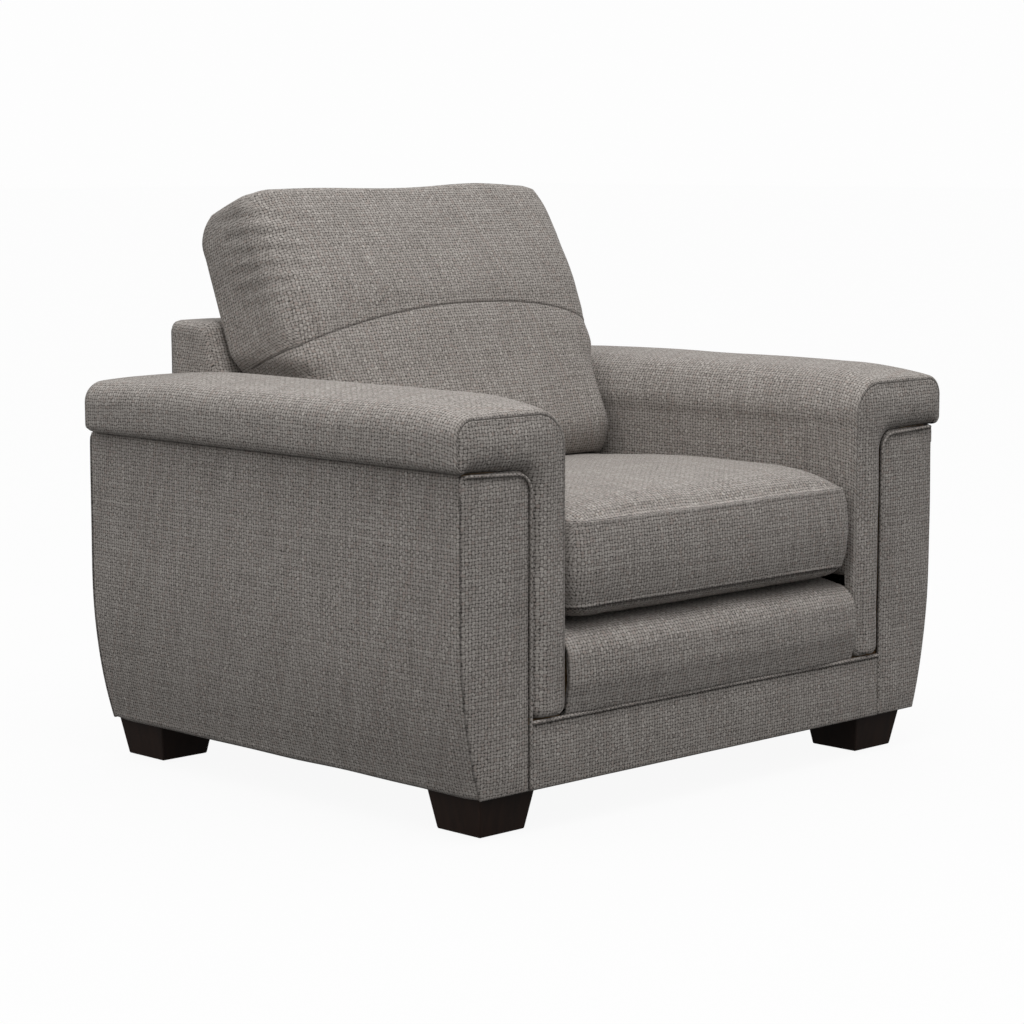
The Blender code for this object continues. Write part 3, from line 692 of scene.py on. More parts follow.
def swept(line, along, axes):
    """A grid of points: a line given on two axes, repeated at each place along the third."""
    points = np.zeros((len(line), len(along), 3))
    points[:, :, axes[0]], points[:, :, axes[1]] = line[:, :1], line[:, 1:]
    points[:, :, 3 - sum(axes)] = along[None]
    return points


def swept_piece(name, points, line, outward, shift, axes, seam, mirror=False):
    """A swept grid whose points shift along its line's outward normals, as a piece."""
    points[:, :, axes[0]] += outward[:, :1] * shift
    points[:, :, axes[1]] += outward[:, 1:] * shift
    run = np.broadcast_to(lengths(line)[:, None], points.shape[:2])
    cloth = np.stack([points[:, :, 3 - sum(axes)], run], axis=2)
    return tweed_piece(name, [(points, cloth, np.broadcast_to(seam, points.shape[:2]))], mirror)


def outer_arm(hand, side):
    """The big side panel: straight, then curving in, and rolled under at the bottom."""
    low, high = SIDE_LOW.z, SIDE_HIGH.z
    heights = np.linspace(low + 0.010, high, 62)
    face = np.stack([outer_x(heights), heights], axis=1)
    foot = face[0]
    turn = [(foot[0] - 0.011 + 0.011 * math.sin(a), foot[1] - 0.010 + 0.010 * (1 - math.cos(a)))
            for a in np.radians((0, 15, 30, 45, 60, 75))]
    line = np.concatenate([[(foot[0] - 0.022, low)], turn, face])
    along = spread(SIDE_LOW.y - 0.0050, SIDE_HIGH.y + 0.0060, 0.012)
    points = swept(line, along, (0, 2))
    near = np.minimum(along - along[0], along[-1] - along)
    back = rolled(near, 0.0038) - 0.0016 * ease(near / 0.04)
    bumps = unevenness(points, 0.0013, 0.14, 40 + side) * ease(near / 0.04)[None]
    # its stitched ends carry painted seam shade
    piece = swept_piece(
        f"outer_arm_skin_{hand}", points, line, -normals_2d(line), bumps - back[None], (0, 2),
        seam_shade(near, 0.4, 0.0012), mirror=side < 0,
    )
    middle = piece.data.polygons[len(piece.data.polygons) // 2]
    shell(piece, middle.normal.x * side > 0, 0.007)
    return dress(piece, "frame", "tweed", f"outer_arm_panel_{hand}")


# ---- welts ----
def cord_tube(name, line, radius, mirror=False):
    """A covered cord along a line, with rounded ends. Its cloth is cut on the bias."""
    line = np.array(line, float)
    run = np.gradient(line, axis=0)
    run /= np.linalg.norm(run, axis=1)[:, None]
    side = np.cross(run, np.array([0.0, -1.0, 0.0]))
    side /= np.linalg.norm(side, axis=1)[:, None]
    out = np.cross(side, run)
    turns = np.linspace(0, 2 * np.pi, 13)
    along = lengths(line)
    ends = np.minimum(along, along[-1] - along)
    thick = radius * np.sqrt(np.clip(1 - (1 - np.clip(ends / radius, 0, 1)) ** 2, 0.02, 1))
    ring = side[:, None] * np.cos(turns)[None, :, None] + out[:, None] * np.sin(turns)[None, :, None]
    points = line[:, None] + ring * thick[:, None, None]
    around = radius * turns
    cloth = np.stack([along[:, None] + around[None], along[:, None] - around[None]], axis=2) * 0.7
    # painted shade on the cord's two flanks, where it meets the cloth on either side
    shade = np.broadcast_to(0.55 * (np.abs(np.cos(turns)) ** 6)[None], points.shape[:2])
    tips = []
    for end in (0, -1):
        closed = np.array([points[end], np.broadcast_to(line[end], points[end].shape)])
        tips.append((closed, cloth[[end, end]], unseamed(closed)))
    return tweed_piece(name, [(points, cloth, shade), *tips], mirror)


def welts():
    """The cords round the top and inner side of each arm's front, and along the kick panel's top."""
    top, edge = PANEL_HIGH.z - 0.0010, PANEL_LOW.x - 0.0014
    outer = ARM_OUTER - 0.001
    corners = [(outer, top - 0.030), (outer, top), (edge, top - SAG), (edge, BODY_BOTTOM + 0.002)]
    line = fillet(corners, [0.0090, 0.0285])
    line = even(line, round(lengths(line)[-1] / 0.004))
    for hand, side in SIDES:
        # it sinks in where it meets the side panel
        path = [(x, PANEL_LOW.y + 0.0008 + 0.0060 * ease((x - ARM_OUTER + 0.010) / 0.009), z)
                for x, z in line]
        piece = cord_tube(f"arm_front_cord_{hand}", path, 0.0027, mirror=side < 0)
        dress(piece, "frame", "tweed", f"arm_front_welt_{hand}")
    half = KICK_HIGH.x - 0.001
    height = KICK_HIGH.z + 0.0052
    path = [(x, KICK_LOW.y + 0.0004, height) for x in np.linspace(-half, half, 180)]
    dress(cord_tube("kick_cord", path, 0.0031), "frame", "tweed", "kick_welt")


# ---- front of the seat box ----
def kick():
    """The flat panel below the padded band."""
    heights = spread(KICK_LOW.z, KICK_HIGH.z + 0.0024, 0.008)
    half = KICK_HIGH.x + 0.0008
    piece = panel(
        "kick_skin", heights, lambda z: -half, lambda z: half, face_y=KICK_LOW.y + 0.001,
        facing=-1, roll=0.0045, puff=0.0016, depth=0.009, seed=51,
    )
    return dress(piece, "frame", "tweed", "kick_panel")


def border():
    """The padded band: it bulges forward, rolls over the front rail and runs under the cushion."""
    low, high = BORDER_LOW.z - 0.0040, BORDER_HIGH.z
    face, crown = BORDER_LOW.y + 0.006, BORDER_LOW.y - 0.002
    corners = [(face + 0.014, low), (face + 0.002, low), (crown, low + 0.050)]
    corners += [(crown + 0.004, high - 0.013), (BORDER_HIGH.y, high)]
    line = even(fillet(corners, [0.009, 0.080, 0.042]), 46)
    outward = normals_2d(line)
    if outward[20, 0] > 0:
        outward = -outward
    half = BORDER_HIGH.x
    across = spread(-half, half, 0.012)
    near = half - np.abs(across)
    points = swept(line, across, (1, 2))
    shift = 0.0030 * ease(near / 0.09) - rolled(near, 0.0035)
    bumps = unevenness(points, 0.0016, 0.10, 61) * ease(near / 0.03)[None]
    # painted shade along the stitched ends
    seam = seam_shade(near, 0.7, 0.0014)
    piece = swept_piece("border_skin", points, line, outward, shift[None] + bumps, (1, 2), seam)
    third = piece.data.polygons[len(piece.data.polygons) // 3]
    shell(piece, third.normal.y <= 0, 0.012)
    return dress(piece, "frame", "tweed", "front_border")


# ---- boxes with rounded edges, cushions among them ----
class Box:
    """The six faces of a box as grids of points, meeting along their edges.

    The walls are one ring of columns, from the front left corner round by the right, and
    the top and bottom are grids across and along.
    """

    def __init__(self, across, along, upright, place):
        self.size = (across, along, upright)
        nx, ny, nz = self.size
        ring = [(i, 0) for i in range(nx)] + [(nx, j) for j in range(ny)]
        ring += [(nx - i, ny) for i in range(nx)] + [(0, ny - j) for j in range(ny + 1)]
        ring = np.array(ring)
        u = 2 * ring[:, 0] / nx - 1
        v = 2 * ring[:, 1] / ny - 1
        w = np.linspace(0, 1, nz + 1)
        self.wall = place(*np.broadcast_arrays(u[None], v[None], w[:, None]))
        gu, gv = np.meshgrid(np.linspace(-1, 1, nx + 1), np.linspace(-1, 1, ny + 1), indexing="ij")
        self.top = place(gu, gv, np.ones_like(gu))
        self.bottom = place(gu, gv, np.zeros_like(gu))

    def patches(self):
        return [self.wall, self.top, self.bottom]


def catmull(values, at, closed=False):
    """Smooth values of a grid's rows at fractional row numbers."""
    count = len(values)
    base = np.floor(at).astype(int)
    if closed:
        pick = [values[(base + k) % count] for k in (-1, 0, 1, 2)]
    else:
        base = np.clip(base, 0, count - 2)
        before = 2 * values[:1] - values[1:2]
        after = 2 * values[-1:] - values[-2:-1]
        padded = np.concatenate([before, values, after])
        pick = [padded[base + k + 1] for k in (-1, 0, 1, 2)]
    t = (at - base)[:, None, None]
    a, b, c, d = pick
    square, cube = 2 * a - 5 * b + 4 * c - d, 3 * b - a - 3 * c + d
    return 0.5 * (2 * b + (c - a) * t + square * t**2 + cube * t**3)


BLOW_FRAMES = 16
BLOW_LIMIT = 0.0040  # how far a point may move
CLOTH = {  # a firm upholstery fabric
    "quality": 6, "mass": 0.25, "tension_stiffness": 18.0, "compression_stiffness": 18.0,
    "shear_stiffness": 6.0, "bending_stiffness": 0.6, "air_damping": 2.0, "use_pressure": True,
}


def squircle(u, v, wide, deep, corner):
    """A point of a unit square, moved into a rectangle whose corners are rounded."""
    x, y = u * wide, v * deep
    over_x = np.clip(np.abs(x) - (wide - corner), 0, None)
    over_y = np.clip(np.abs(y) - (deep - corner), 0, None)
    reach = np.maximum(over_x, over_y)
    length = np.sqrt(over_x**2 + over_y**2) + 1e-9
    scale = np.where(reach > 0, reach / length, 1.0)
    x = np.sign(x) * (np.abs(x) - over_x + over_x * scale)
    y = np.sign(y) * (np.abs(y) - over_y + over_y * scale)
    return x, y


def blown(box, name, pressure):
    """Inflates a box's cloth and caps how far each point may move."""
    parts = box.patches()
    vertices, faces = grid_faces(parts)
    keys = {}
    chosen = [keys.setdefault(tuple(np.round(v, 6)), len(keys)) for v in np.array(vertices)]
    unique = np.zeros((len(keys), 3))
    unique[chosen] = vertices
    mesh = bpy.data.meshes.new(name)
    mesh.from_pydata(unique.tolist(), [], [[chosen[i] for i in face] for face in faces])
    shape = bmesh.new()
    shape.from_mesh(mesh)
    bmesh.ops.recalc_face_normals(shape, faces=shape.faces)
    shape.to_mesh(mesh)
    shape.free()
    made = linked(name, mesh)
    cloth = made.modifiers.new("Cloth", "CLOTH")
    for setting, value in CLOTH.items():
        setattr(cloth.settings, setting, value)
    cloth.settings.uniform_pressure_force = pressure
    cloth.settings.effector_weights.gravity = 0.0
    cloth.collision_settings.use_collision = False
    cloth.point_cache.frame_start = 1
    cloth.point_cache.frame_end = BLOW_FRAMES
    scene = bpy.context.scene
    for number in range(1, BLOW_FRAMES + 1):
        scene.frame_set(number)
    result = made.evaluated_get(bpy.context.evaluated_depsgraph_get()).to_mesh()
    moved = np.zeros(len(unique) * 3)
    result.vertices.foreach_get("co", moved)
    bpy.data.objects.remove(made, do_unlink=True)
    scene.frame_set(1)
    shift = moved.reshape(-1, 3) - unique
    far = np.linalg.norm(shift, axis=1)
    shift *= (np.minimum(far, BLOW_LIMIT) / (far + 1e-9))[:, None]
    final = (unique + shift)[chosen]
    first = np.cumsum([0, *(p.shape[0] * p.shape[1] for p in parts)])
    box.wall, box.top, box.bottom = (
        final[first[k] : first[k + 1]].reshape(p.shape) for k, p in enumerate(parts)
    )
    return box


def finer(count, spacing, step, seam):
    """Fractional row numbers from 0 to count: about a step apart, and closer at both ends if seam."""
    if not seam:
        return np.linspace(0, count, max(2, round(count * spacing / step)) + 1)
    edge = np.array([0.0, 0.0013, 0.0028, 0.0048, 0.0080]) / spacing
    low, high = edge[-1], count - edge[-1]
    middle = np.linspace(low, high, max(2, round((high - low) * spacing / step)) + 1)
    return np.concatenate([edge[:-1], middle, count - edge[:-1][::-1]])


def grid_normals(points):
    """Unit normals of a grid, from its two directions."""
    a, b = np.gradient(points, axis=0), np.gradient(points, axis=1)
    made = np.cross(a, b)
    return made / (np.linalg.norm(made, axis=2)[:, :, None] + 1e-12)


def finer_ring(wall, size, xs, ys):
    """A wall's columns, smoothly interpolated at fractional numbers along its four sides."""
    nx, ny = size[:2]
    back, home = nx + ny + (nx - xs[::-1])[:-1], 2 * nx + ny + (ny - ys[::-1])
    around = np.concatenate([xs[:-1], nx + ys[:-1], back, home])
    return np.swapaxes(catmull(np.swapaxes(wall[:, :-1], 0, 1), around, closed=True), 0, 1)


def finer_grid(points, xs, ys):
    """A grid, smoothly interpolated at fractional row and column numbers."""
    return np.swapaxes(catmull(np.swapaxes(catmull(points, xs), 0, 1), ys), 0, 1)


def meet(wall, top, bottom, counts):
    """Makes the borders of the top and bottom grids the same as the wall's last and first rows."""
    a, b = counts
    for grid, row in ((top, -1), (bottom, 0)):
        ring = wall[row]
        grid[:, 0] = ring[: a + 1]
        grid[-1, :] = ring[a : a + b + 1]
        grid[:, -1] = ring[a + b : 2 * a + b + 1][::-1]
        grid[0, :] = ring[2 * a + b :][::-1]
    return top, bottom


def round_box(point, half, radius):
    """A point on a box's surface, moved on to the same box with rounded edges."""
    inner = np.maximum(np.array(half) - radius, 0.0)
    core = np.clip(point, -inner, inner)
    away = point - core
    return core + radius * away / (np.linalg.norm(away, axis=-1)[..., None] + 1e-12)


def seat_crown(x, y):
    """How far the seat cushion's top stands above its seam."""
    u = np.clip(x / SEAT_HIGH.x, -1, 1)
    middle, half = (SEAT_LOW.y + SEAT_HIGH.y) / 2, (SEAT_HIGH.y - SEAT_LOW.y) / 2
    v = np.clip((y - middle) / half, -1, 1)
    across = (1 - np.abs(u) ** np.where(u < 0, 4.4, 9.0)) ** 0.54
    along = (1 - np.abs(v) ** np.where(v < 0, 7.0, 3.0)) ** 0.62 * (1 - 0.30 * ease((v + 0.15) / 0.85))
    return 0.0358 * across * along


def laid_flat(grid):
    """A grid's weave map, by lengths along the cloth from its middle lines."""
    over, up = grid_lengths(grid, 0), grid_lengths(grid, 1)
    i, j = grid.shape[0] // 2, grid.shape[1] // 2
    return np.stack([over - over[i : i + 1], up - up[:, j : j + 1]], axis=2)


def boxed_weave(wall, top, bottom, counts):
    """Weave maps of a boxed cushion: round its walls from the front's middle, and flat elsewhere."""
    front = counts[0] // 2
    along = grid_lengths(wall, 1)
    along = along - along[:, front : front + 1]
    up = grid_lengths(wall, 0)
    return np.stack([along, up + wall[0, front, 2]], axis=2), laid_flat(top), laid_flat(bottom)


def edge_rows(shape, depth):
    """For a grid, how many rows or columns each point lies from the border, up to depth."""
    i = np.minimum(np.arange(shape[0]), np.arange(shape[0])[::-1])
    j = np.minimum(np.arange(shape[1]), np.arange(shape[1])[::-1])
    return np.minimum(np.minimum(i[:, None], j[None, :]), depth)


def stitched(grid, normal, profile):
    """Moves the rows next to a grid's border along its normals by a profile of depths."""
    depths = np.array([*profile, 0.0])[edge_rows(grid.shape[:2], len(profile))]
    return grid + normal * depths[:, :, None]


def facing_out(points, centre):
    """A grid's normals, turned away from a centre."""
    made = grid_normals(points)
    if np.sum(made * (points - centre)) < 0:
        made = -made
    return made


def filling(name, grids, centre, depth, body, node):
    """The foam inside a cover: the cover's grids, drawn in by a depth on every side."""
    everything = np.concatenate([p.reshape(-1, 3) for p in grids])
    scale = 1 - depth / np.minimum(everything.max(0) - centre, centre - everything.min(0))
    patches = [(centre + (p - centre) * scale, p[:, :, :2], unseamed(p)) for p in grids]
    piece = tweed_piece(name, patches)
    piece.data.materials[0] = FOAM
    return dress(piece, body, "foam", node)


def seat_cushion():
    """A boxed, crowned cushion with a stitched seam round its top and its bottom panel."""
    half, near, far = SEAT_HIGH.x + 0.0022, SEAT_LOW.y - 0.0125, SEAT_HIGH.y
    middle, deep = (near + far) / 2, (far - near) / 2
    seam_low, rest = 0.3185, SEAT_LOW.z + 0.0006

    def place(u, v, w):
        pinch = 0.0085 * (1 - np.sin(np.pi * w) ** 0.55) + CUT_SMALL
        x, y = squircle(u, v, half - pinch, deep - pinch, 0.030)
        height = seam_low + (SEAT_SEAM - seam_low) * w
        rim = np.maximum(np.abs(u), np.abs(v)) < 1
        crown = np.where(rim & (w == 1), seat_crown(u * half, v * deep + middle) - CUT_SMALL, 0.0)
        curl = np.where(rim & (w == 0), (1 - np.abs(u) ** 9) ** 0.4 * (1 - np.abs(v) ** 9) ** 0.4, 0.0)
        height = height + crown - curl * (seam_low - rest - CUT_SMALL * 0.6)
        return np.stack([x, y + middle, height], axis=-1)

    box = Box(60, 56, 11, place)
    box = blown(box, "seat_blown", 3.6)
    spacing = (2 * half / 60, 2 * deep / 56, (SEAT_SEAM - seam_low) / 11)
    xs, ys, zs = (finer(n, s, 0.0062, True) for n, s in zip(box.size, spacing))
    counts = (len(xs) - 1, len(ys) - 1)
    wall = finer_ring(catmull(box.wall, zs), box.size, xs, ys)
    top, bottom = meet(wall, finer_grid(box.top, xs, ys), finer_grid(box.bottom, xs, ys), counts)
    centre = np.array([0, middle, (seam_low + SEAT_SEAM) / 2])
    wall_out, top_out, bottom_out = (facing_out(p, centre) for p in (wall, top, bottom))
    ridge = np.array([-0.0020, -0.0003, 0.0019, 0.0008, 0.0])
    lift = np.zeros(len(wall))
    lift[:5], lift[-5:] = ridge, ridge[::-1]
    wall = wall + wall_out * lift[:, None, None]
    top = stitched(top, top_out, (0.0, -0.0018, 0.0004, 0.0004))
    bottom = stitched(bottom, bottom_out, (0.0, -0.0012, 0.0003, 0.0))
    bumps = unevenness(top, 0.0016, 0.13, 71) * ease(edge_rows(top.shape[:2], 12) / 12)
    top += top_out * bumps[:, :, None]
    wall += wall_out * (unevenness(wall, 0.0012, 0.10, 72) * (lift[:, None] == 0))[:, :, None]
    grids = (wall, *meet(wall, top, bottom, counts))
    for grid in grids:
        grid[:, :, 0] = np.clip(grid[:, :, 0], -half - 0.0018, half + 0.0018)
        grid[:, :, 2] = np.maximum(grid[:, :, 2], rest)
    # painted shade along the seams round the top and bottom panels
    wall_seam_shade = unseamed(wall)
    wall_seam_shade[[0, -1]], wall_seam_shade[[1, -2]] = 0.9, 0.3
    top_seam_shade = np.array([0.9, 0.75, 0.1, 0.0, 0.0])[edge_rows(top.shape[:2], 4)]
    bottom_seam_shade = np.array([0.9, 0.6, 0.1, 0.0, 0.0])[edge_rows(bottom.shape[:2], 4)]
    patches = list(zip(grids, boxed_weave(*grids, counts), (wall_seam_shade, top_seam_shade, bottom_seam_shade)))
    filling("seat_foam", grids, centre, 0.0100, "seat_cushion", "seat_cushion_core")
    piece = tweed_piece("seat_cushion_skin", patches)
    return dress(piece, "seat_cushion", "tweed", "seat_cushion_cover")


def from_slope(points):
    """Points given as (across, forward of the back's front plane, up its slope), in metres +Z up."""
    x, n, w = points[..., 0], points[..., 1], points[..., 2]
    return np.stack([x, BACK_FOOT + w * SIN - n * COS, w * COS + n * SIN], axis=-1)


def arch(x):
    """How far up the slope the seam across the back cushion runs."""
    t = (x - 0.03) / 0.32
    left, right = 0.0400 * np.abs(t) ** 1.8, 0.052 * np.abs(t) ** 3.0
    return 0.7105 - np.clip(np.where(t < 0, left, right), 0, 0.0530)


def back_form(u, v, up):
    """The back cushion as designed, at a place of its unit box: across, forward and up the slope."""
    w = BACK_START + (BACK_END - BACK_START) * up
    height = w * COS + (0.165 * (1 - v) / 2) * SIN
    free = ease((height - 0.612) / 0.045)  # 0 between the arms and 1 above them
    wide = 0.3280 + 0.0158 * free
    lower = 0.034 * np.clip(1 - (w - BACK_START) / 0.062, 0, 1) ** 2.2
    lean = 0.031 * np.clip((w - 0.745) / 0.18, 0, 1) ** 1.45
    front = 0.1765 - lower - lean
    rear = REAR_SINK + 0.026 * np.clip(1 - (w - BACK_START) / 0.04, 0, 1) ** 2
    rear = rear + 0.030 * np.clip((w - 0.880) / 0.05, 0, 1) ** 2.0
    foot_pull = 0.006 * np.clip(1 - (w - BACK_START) / 0.05, 0, 1) ** 2
    wide = wide - (foot_pull + 0.009 * np.clip((w - 0.875) / 0.055, 0, 1) ** 2)
    deep, mid = (front - rear) / 2, (front + rear) / 2
    corner = np.where(v < 0, 0.044, 0.020)
    x, n = squircle(u, -v, wide - CUT_SMALL, deep - CUT_SMALL, corner)
    bulge = np.sin(np.pi * np.clip(up * 0.92 + 0.06, 0, 1)) ** 0.6
    crown = 0.011 * (1 - np.abs(x / wide) ** 2.2) * bulge
    n = mid + n + np.where(n > 0, n / deep, 0) * crown
    rim = np.maximum(np.abs(u), np.abs(v)) < 1
    round_off = (1 - np.abs(u) ** 6) ** 0.45 * (1 - np.abs(v) ** 3.4) ** 0.5
    wave = 0.0075 * np.exp(-((x - 0.185) / 0.10) ** 2) - 0.0030 * np.exp(-((x + 0.03) / 0.10) ** 2)
    top = np.where(rim & (up == 1), round_off * (0.0135 + wave), 0.0)
    under = np.where(rim & (up == 0), round_off * -0.010, 0.0)
    cut = CUT_SMALL * (1 - 2 * (up == 0)) * ((up == 0) | (up == 1))
    return np.stack([x - 0.0028 * free, n, w + top - under - cut], axis=-1)


def back_wall(box, xs, ys, spacing):
    """The back cushion's walls again, finer, with one row of points along the arched seam.

    Also the number of that row.
    """
    nz, whole = box.size[2], BACK_END - BACK_START
    zs = finer(nz, spacing, 0.0066, False)
    seam_row = int(round(float((arch(0.0) - BACK_START) / whole * (len(zs) - 1))))
    beside = np.array([0.0013, 0.0028, 0.0050])
    level = (BACK_START + whole * zs / nz)[seam_row]
    above = np.linspace(level + 0.0085, BACK_END, len(zs) - seam_row - 1)
    below = np.linspace(BACK_START, level - 0.0085, seam_row)
    levels = np.concatenate([below, level - beside[::-1], [level], level + beside, above])
    ring = finer_ring(box.wall, box.size, xs, ys)
    reach = ring[int(nz * 0.55)]
    shift = arch(np.clip(reach[:, 0], -0.33, 0.33)) - level
    weight = np.where(levels < level, (levels - BACK_START) / (level - BACK_START),
                      (BACK_END - levels) / (BACK_END - level))
    wanted = levels[:, None] + shift[None] * weight[:, None]
    at = np.clip((wanted - BACK_START) / whole * nz, 0, nz)
    columns = [catmull(ring[:, k : k + 1], at[:, k])[:, 0] for k in range(ring.shape[1])]
    return np.stack(columns, axis=1), len(below) + len(beside)


def back_cushion():
    """A full cushion that leans on the back: its front wraps round its sides, with an arched seam."""
    box = Box(48, 14, 38, back_form)
    spacing = (0.66 / 48, 0.165 / 14, (BACK_END - BACK_START) / 38)
    box = blown(box, "back_blown", 3.4)
    xs, ys = (finer(n, s, 0.0066, False) for n, s in zip(box.size[:2], spacing[:2]))
    counts = (len(xs) - 1, len(ys) - 1)
    wall, seam_row = back_wall(box, xs, ys, spacing[2])
    top, bottom = finer_grid(box.top, xs, ys), finer_grid(box.bottom, xs, ys)

    centre = np.array([0, 0.08, 0.69])
    wall_out, top_out = facing_out(wall, centre), facing_out(top, centre)
    x, y, z = wall[:, :, 0], wall[:, :, 1], wall[:, :, 2]
    on_front = ease((y - 0.010) / 0.05)
    gap = z - arch(np.clip(x, -0.33, 0.33))
    groove = -0.0030 * np.exp(-(gap / 0.020) ** 2) - 0.0012 * np.exp(-(gap / 0.0018) ** 2)
    groove += 0.0009 * np.exp(-((gap - 0.0040) / 0.0016) ** 2)
    # the cloth puckers along its left side, above the arm
    folds_at = ease((z - 0.735) / 0.04) * ease((0.925 - z) / 0.03)
    left_edge = np.exp(-((x + 0.330) / 0.050) ** 2) * ease((y - 0.040) / 0.06)
    tilt = z + 0.22 * x + 0.16 * y + 0.006 * unevenness(wall, 1.0, 0.08, 81)
    folds = 0.0023 * np.sin(tilt * 2 * math.pi / 0.0290) * folds_at * left_edge
    fade = ease((BACK_END - z) / 0.04)
    soft = unevenness(wall, 0.0030, 0.12, 82) * ease((z - BACK_START) / 0.05) * fade
    wall = wall + wall_out * (groove * on_front + folds + soft)[:, :, None]
    bumps = unevenness(top, 0.0022, 0.09, 83) * ease(edge_rows(top.shape[:2], 6) / 6)
    top = top + top_out * bumps[:, :, None]
    top, bottom = meet(wall, top, bottom, counts)

    middle = counts[0] // 2
    arc = grid_lengths(wall[:, :, :2], 1)
    arc = arc - arc[:, middle : middle + 1]
    up = grid_lengths(wall, 0)
    up = up - up[seam_row : seam_row + 1] + wall[seam_row, :, 2][None]
    edge = wall[-1, middle, 1]
    top_map = np.stack([top[:, :, 0], up[-1, middle] + edge - top[:, :, 1]], axis=2)
    placed = []
    # the wall carries painted shade along the arched seam across its front
    for points, cloth, seam_shading in (
        (wall, np.stack([arc, up], axis=2), 0.95 * np.exp(-(gap / 0.0011) ** 2) * on_front),
        (top, top_map, unseamed(top)),
        (bottom, flat_weave(bottom, 0, 1), unseamed(bottom)),
    ):
        # it stays between the arms, off the back's padding and on the seat cushion
        height = points[:, :, 2] * COS + points[:, :, 1] * SIN
        limit = 0.3285 + 0.0205 * ease((height - 0.618) / 0.030)
        points[:, :, 0] = np.clip(points[:, :, 0], -limit, limit)
        points[:, :, 1] = np.maximum(points[:, :, 1], REAR_SINK + 0.0006)
        world = from_slope(points)
        seat = SEAT_SEAM + seat_crown(world[:, :, 0], world[:, :, 1]) + 0.0015
        lifted = np.maximum(world[:, :, 2], seat)
        world[:, :, 2] = np.where(world[:, :, 1] < SEAT_HIGH.y, lifted, world[:, :, 2])
        placed.append((world, cloth, seam_shading))
    grids = [world for world, _, _ in placed]
    filling("back_foam", grids, from_slope(centre), 0.0120, "back_cushion", "back_cushion_core")
    piece = tweed_piece("back_cushion_skin", placed)
    return dress(piece, "back_cushion", "tweed", "back_cushion_cover")


# ---- the back ----
def soft_block(low, high, radius, step, seed, lean=0.0):
    """Patches of a rounded, softly uneven block. Its front leans back with the chair's back plane."""
    low, high = np.array(low), np.array(high)
    half, centre = (high - low) / 2, (high + low) / 2

    def place(u, v, w):
        raw = np.stack([u * half[0], v * half[1], (2 * w - 1) * half[2]], axis=-1)
        made = round_box(raw, half, radius) + centre
        front = (centre[1] + half[1] - made[..., 1]) / (2 * half[1])
        made[..., 1] += lean * front * (made[..., 2] - high[2])
        return made

    counts = [max(4, round(2 * h / step)) for h in half]
    box = Box(*counts, place)
    for points in box.patches():
        points += facing_out(points, centre) * unevenness(points, 0.0007, 0.07, seed)[:, :, None]
    wall = box.wall
    top, bottom = meet(wall, box.top, box.bottom, counts[:2])
    maps = boxed_weave(wall, top, bottom, counts[:2])
    return [(p, m, unseamed(p)) for p, m in zip((wall, top, bottom), maps)]


def back():
    """The upholstered back: its front and top cover, and the panel that closes it behind."""
    wide, top = BACK_HIGH.x, BACK_HIGH.z
    narrow, shoulder = 0.329, 0.6000
    slope = math.tan(RECLINE)
    sunk = 0.0137
    front = back_plane(top) + sunk
    far = (wide, OUTSIDE_HIGH.y - 0.0012, top)
    upper = soft_block((-wide, front, shoulder), far, radius=0.016, step=0.008, seed=90, lean=slope)
    sheet_rows = np.linspace(BACK_LOW.z + 0.002, shoulder + 0.02, 40)
    across = np.linspace(-narrow, narrow, 50)
    lower = np.array([[(x, back_plane(z) + sunk, z) for x in across] for z in sheet_rows])
    behind = lower + np.array([0, 0.009, 0])
    rim = [np.array([lower[0], behind[0]]), np.array([lower[-1], behind[-1]])]
    rim += [np.array([lower[:, 0], behind[:, 0]]), np.array([lower[:, -1], behind[:, -1]])]
    flat = [(p, flat_weave(p), unseamed(p)) for p in (lower, behind, *rim)]
    piece = tweed_piece("back_skin", [*upper, *flat])
    dress(piece, "frame", "tweed", "back_cover")
    inset = 0.0080
    low, high = OUTSIDE_LOW.z, OUTSIDE_HIGH.z - inset

    def reach(z):
        return OUTSIDE_HIGH.x - inset - rounding(z, 0.012, high)

    rear = panel(
        "outside_back_skin", spread(low, high, 0.010), lambda z: -reach(z), reach,
        face_y=OUTSIDE_HIGH.y + 0.0012, facing=1, roll=0.0032, puff=0.0020, depth=0.0095, seed=95,
    )
    return dress(rear, "frame", "tweed", "outside_back")


# ---- lights, floor and camera ----
def aimed(made, spot, towards):
    """Puts a light or the camera at a spot, pointing in a direction."""
    made.location = spot
    made.rotation_mode = "QUATERNION"
    made.rotation_quaternion = towards.to_track_quat("-Z", "Y")


def area_light(name, spot, target, size, power):
    lamp = bpy.data.lights.new(name, "AREA")
    lamp.shape = "RECTANGLE"
    lamp.size, lamp.size_y = size
    lamp.energy = power
    aimed(linked(name, lamp), spot, Vector(target) - Vector(spot))


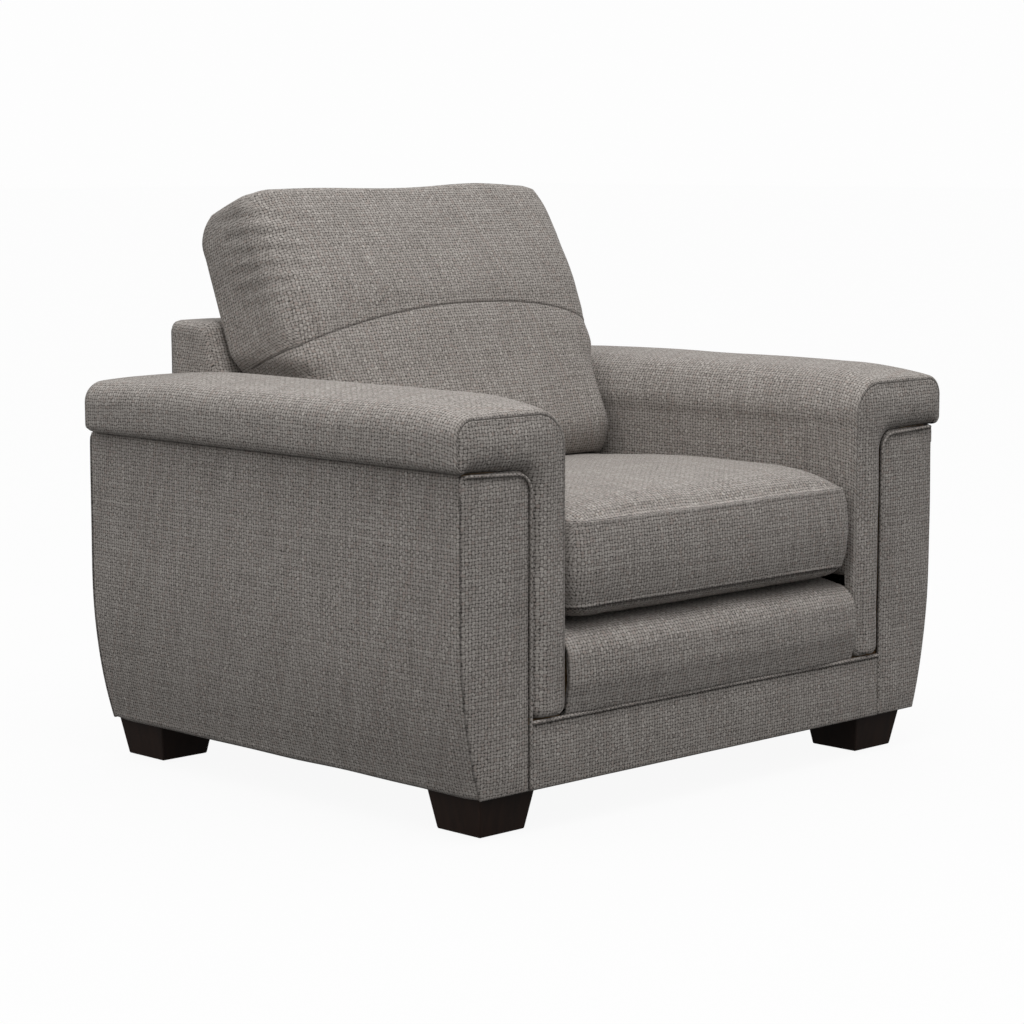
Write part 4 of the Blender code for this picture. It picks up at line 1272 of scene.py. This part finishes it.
def studio():
    """A pale floor, a soft dome that is brightest overhead, and two lights."""
    scene = bpy.context.scene
    scene.view_settings.view_transform = "Standard"
    world = bpy.data.worlds.new("studio")
    scene.world = world
    world.use_nodes = True
    tree = world.node_tree
    output = next(n for n in tree.nodes if n.type == "OUTPUT_WORLD")
    dome, paper = tree.nodes["Background"], tree.nodes.new("ShaderNodeBackground")
    kinds = ("TexCoord", "SeparateXYZ", "MapRange", "LightPath", "MixShader")
    where, split, rise, seen, either = (tree.nodes.new("ShaderNode" + kind) for kind in kinds)
    paper.inputs["Color"].default_value = (0.984, 0.984, 0.984, 1)
    dome.inputs["Color"].default_value = (1.0, 1.0, 1.0, 1)
    rise.inputs["To Min"].default_value = DOME_LOW
    rise.inputs["To Max"].default_value = DOME_HIGH
    for source, target in (
        (where.outputs["Generated"], split.inputs[0]),
        (split.outputs[2], rise.inputs["Value"]),
        (rise.outputs[0], dome.inputs["Strength"]),
        (seen.outputs["Is Camera Ray"], either.inputs[0]),
        (dome.outputs[0], either.inputs[1]),
        (paper.outputs[0], either.inputs[2]),
        (either.outputs[0], output.inputs["Surface"]),
    ):
        tree.links.new(source, target)

    floor_mesh = bpy.data.meshes.new("floor")
    reach = 60.0
    corners = [(-reach, -reach, 0), (reach, -reach, 0), (reach, reach, 0), (-reach, reach, 0)]
    floor_mesh.from_pydata(corners, [], [(0, 1, 2, 3)])
    floor = linked("floor", floor_mesh)
    g = Graph("floor", 0.9)
    g.colour(g.mix(g.noise(g.place(), 3.0), (0.045, 0.045, 0.045, 1), (0.050, 0.050, 0.050, 1)))
    g.shader.inputs["Specular IOR Level"].default_value = 0.0
    g.shader.inputs["Emission Color"].default_value = (1.0, 1.0, 1.0, 1)
    direct = g.add("ShaderNodeLightPath").outputs["Is Camera Ray"]
    g.join(g.range(direct, 0.0, 1.0, FLOOR_BOUNCE, FLOOR_SEEN), g.shader.inputs["Emission Strength"])
    floor_mesh.materials.append(g.material)
    area_light("key", (-1.0, -1.5, 3.9), (0.0, 0.0, 0.45), (1.6, 1.6), 40)
    area_light("fill", (-3.6, -0.2, 0.40), (0.0, 0.0, 0.36), (2.4, 0.7), 6)


def camera():
    """Seen from 44.5 degrees to the chair's front left, a little above it."""
    turn, down = math.radians(-44.5393), math.radians(7.2164)
    level = math.cos(down)
    back = Vector((math.sin(turn) * level, -math.cos(turn) * level, math.sin(down)))
    data = bpy.data.cameras.new("camera")
    data.lens, data.sensor_width = 100.2, 36.0
    data.clip_start, data.clip_end = 0.1, 200.0
    made = linked("camera", data)
    aimed(made, (-3.2339, -3.2776, 0.9784), -back)
    bpy.context.scene.camera = made


def main():
    carried_over()
    for hand, side in SIDES:
        arm_pad(hand, side)
        arm_end_panels(hand, side)
        outer_arm(hand, side)
    welts()
    kick()
    border()
    seat_cushion()
    back_cushion()
    back()
    studio()
    camera()


main()
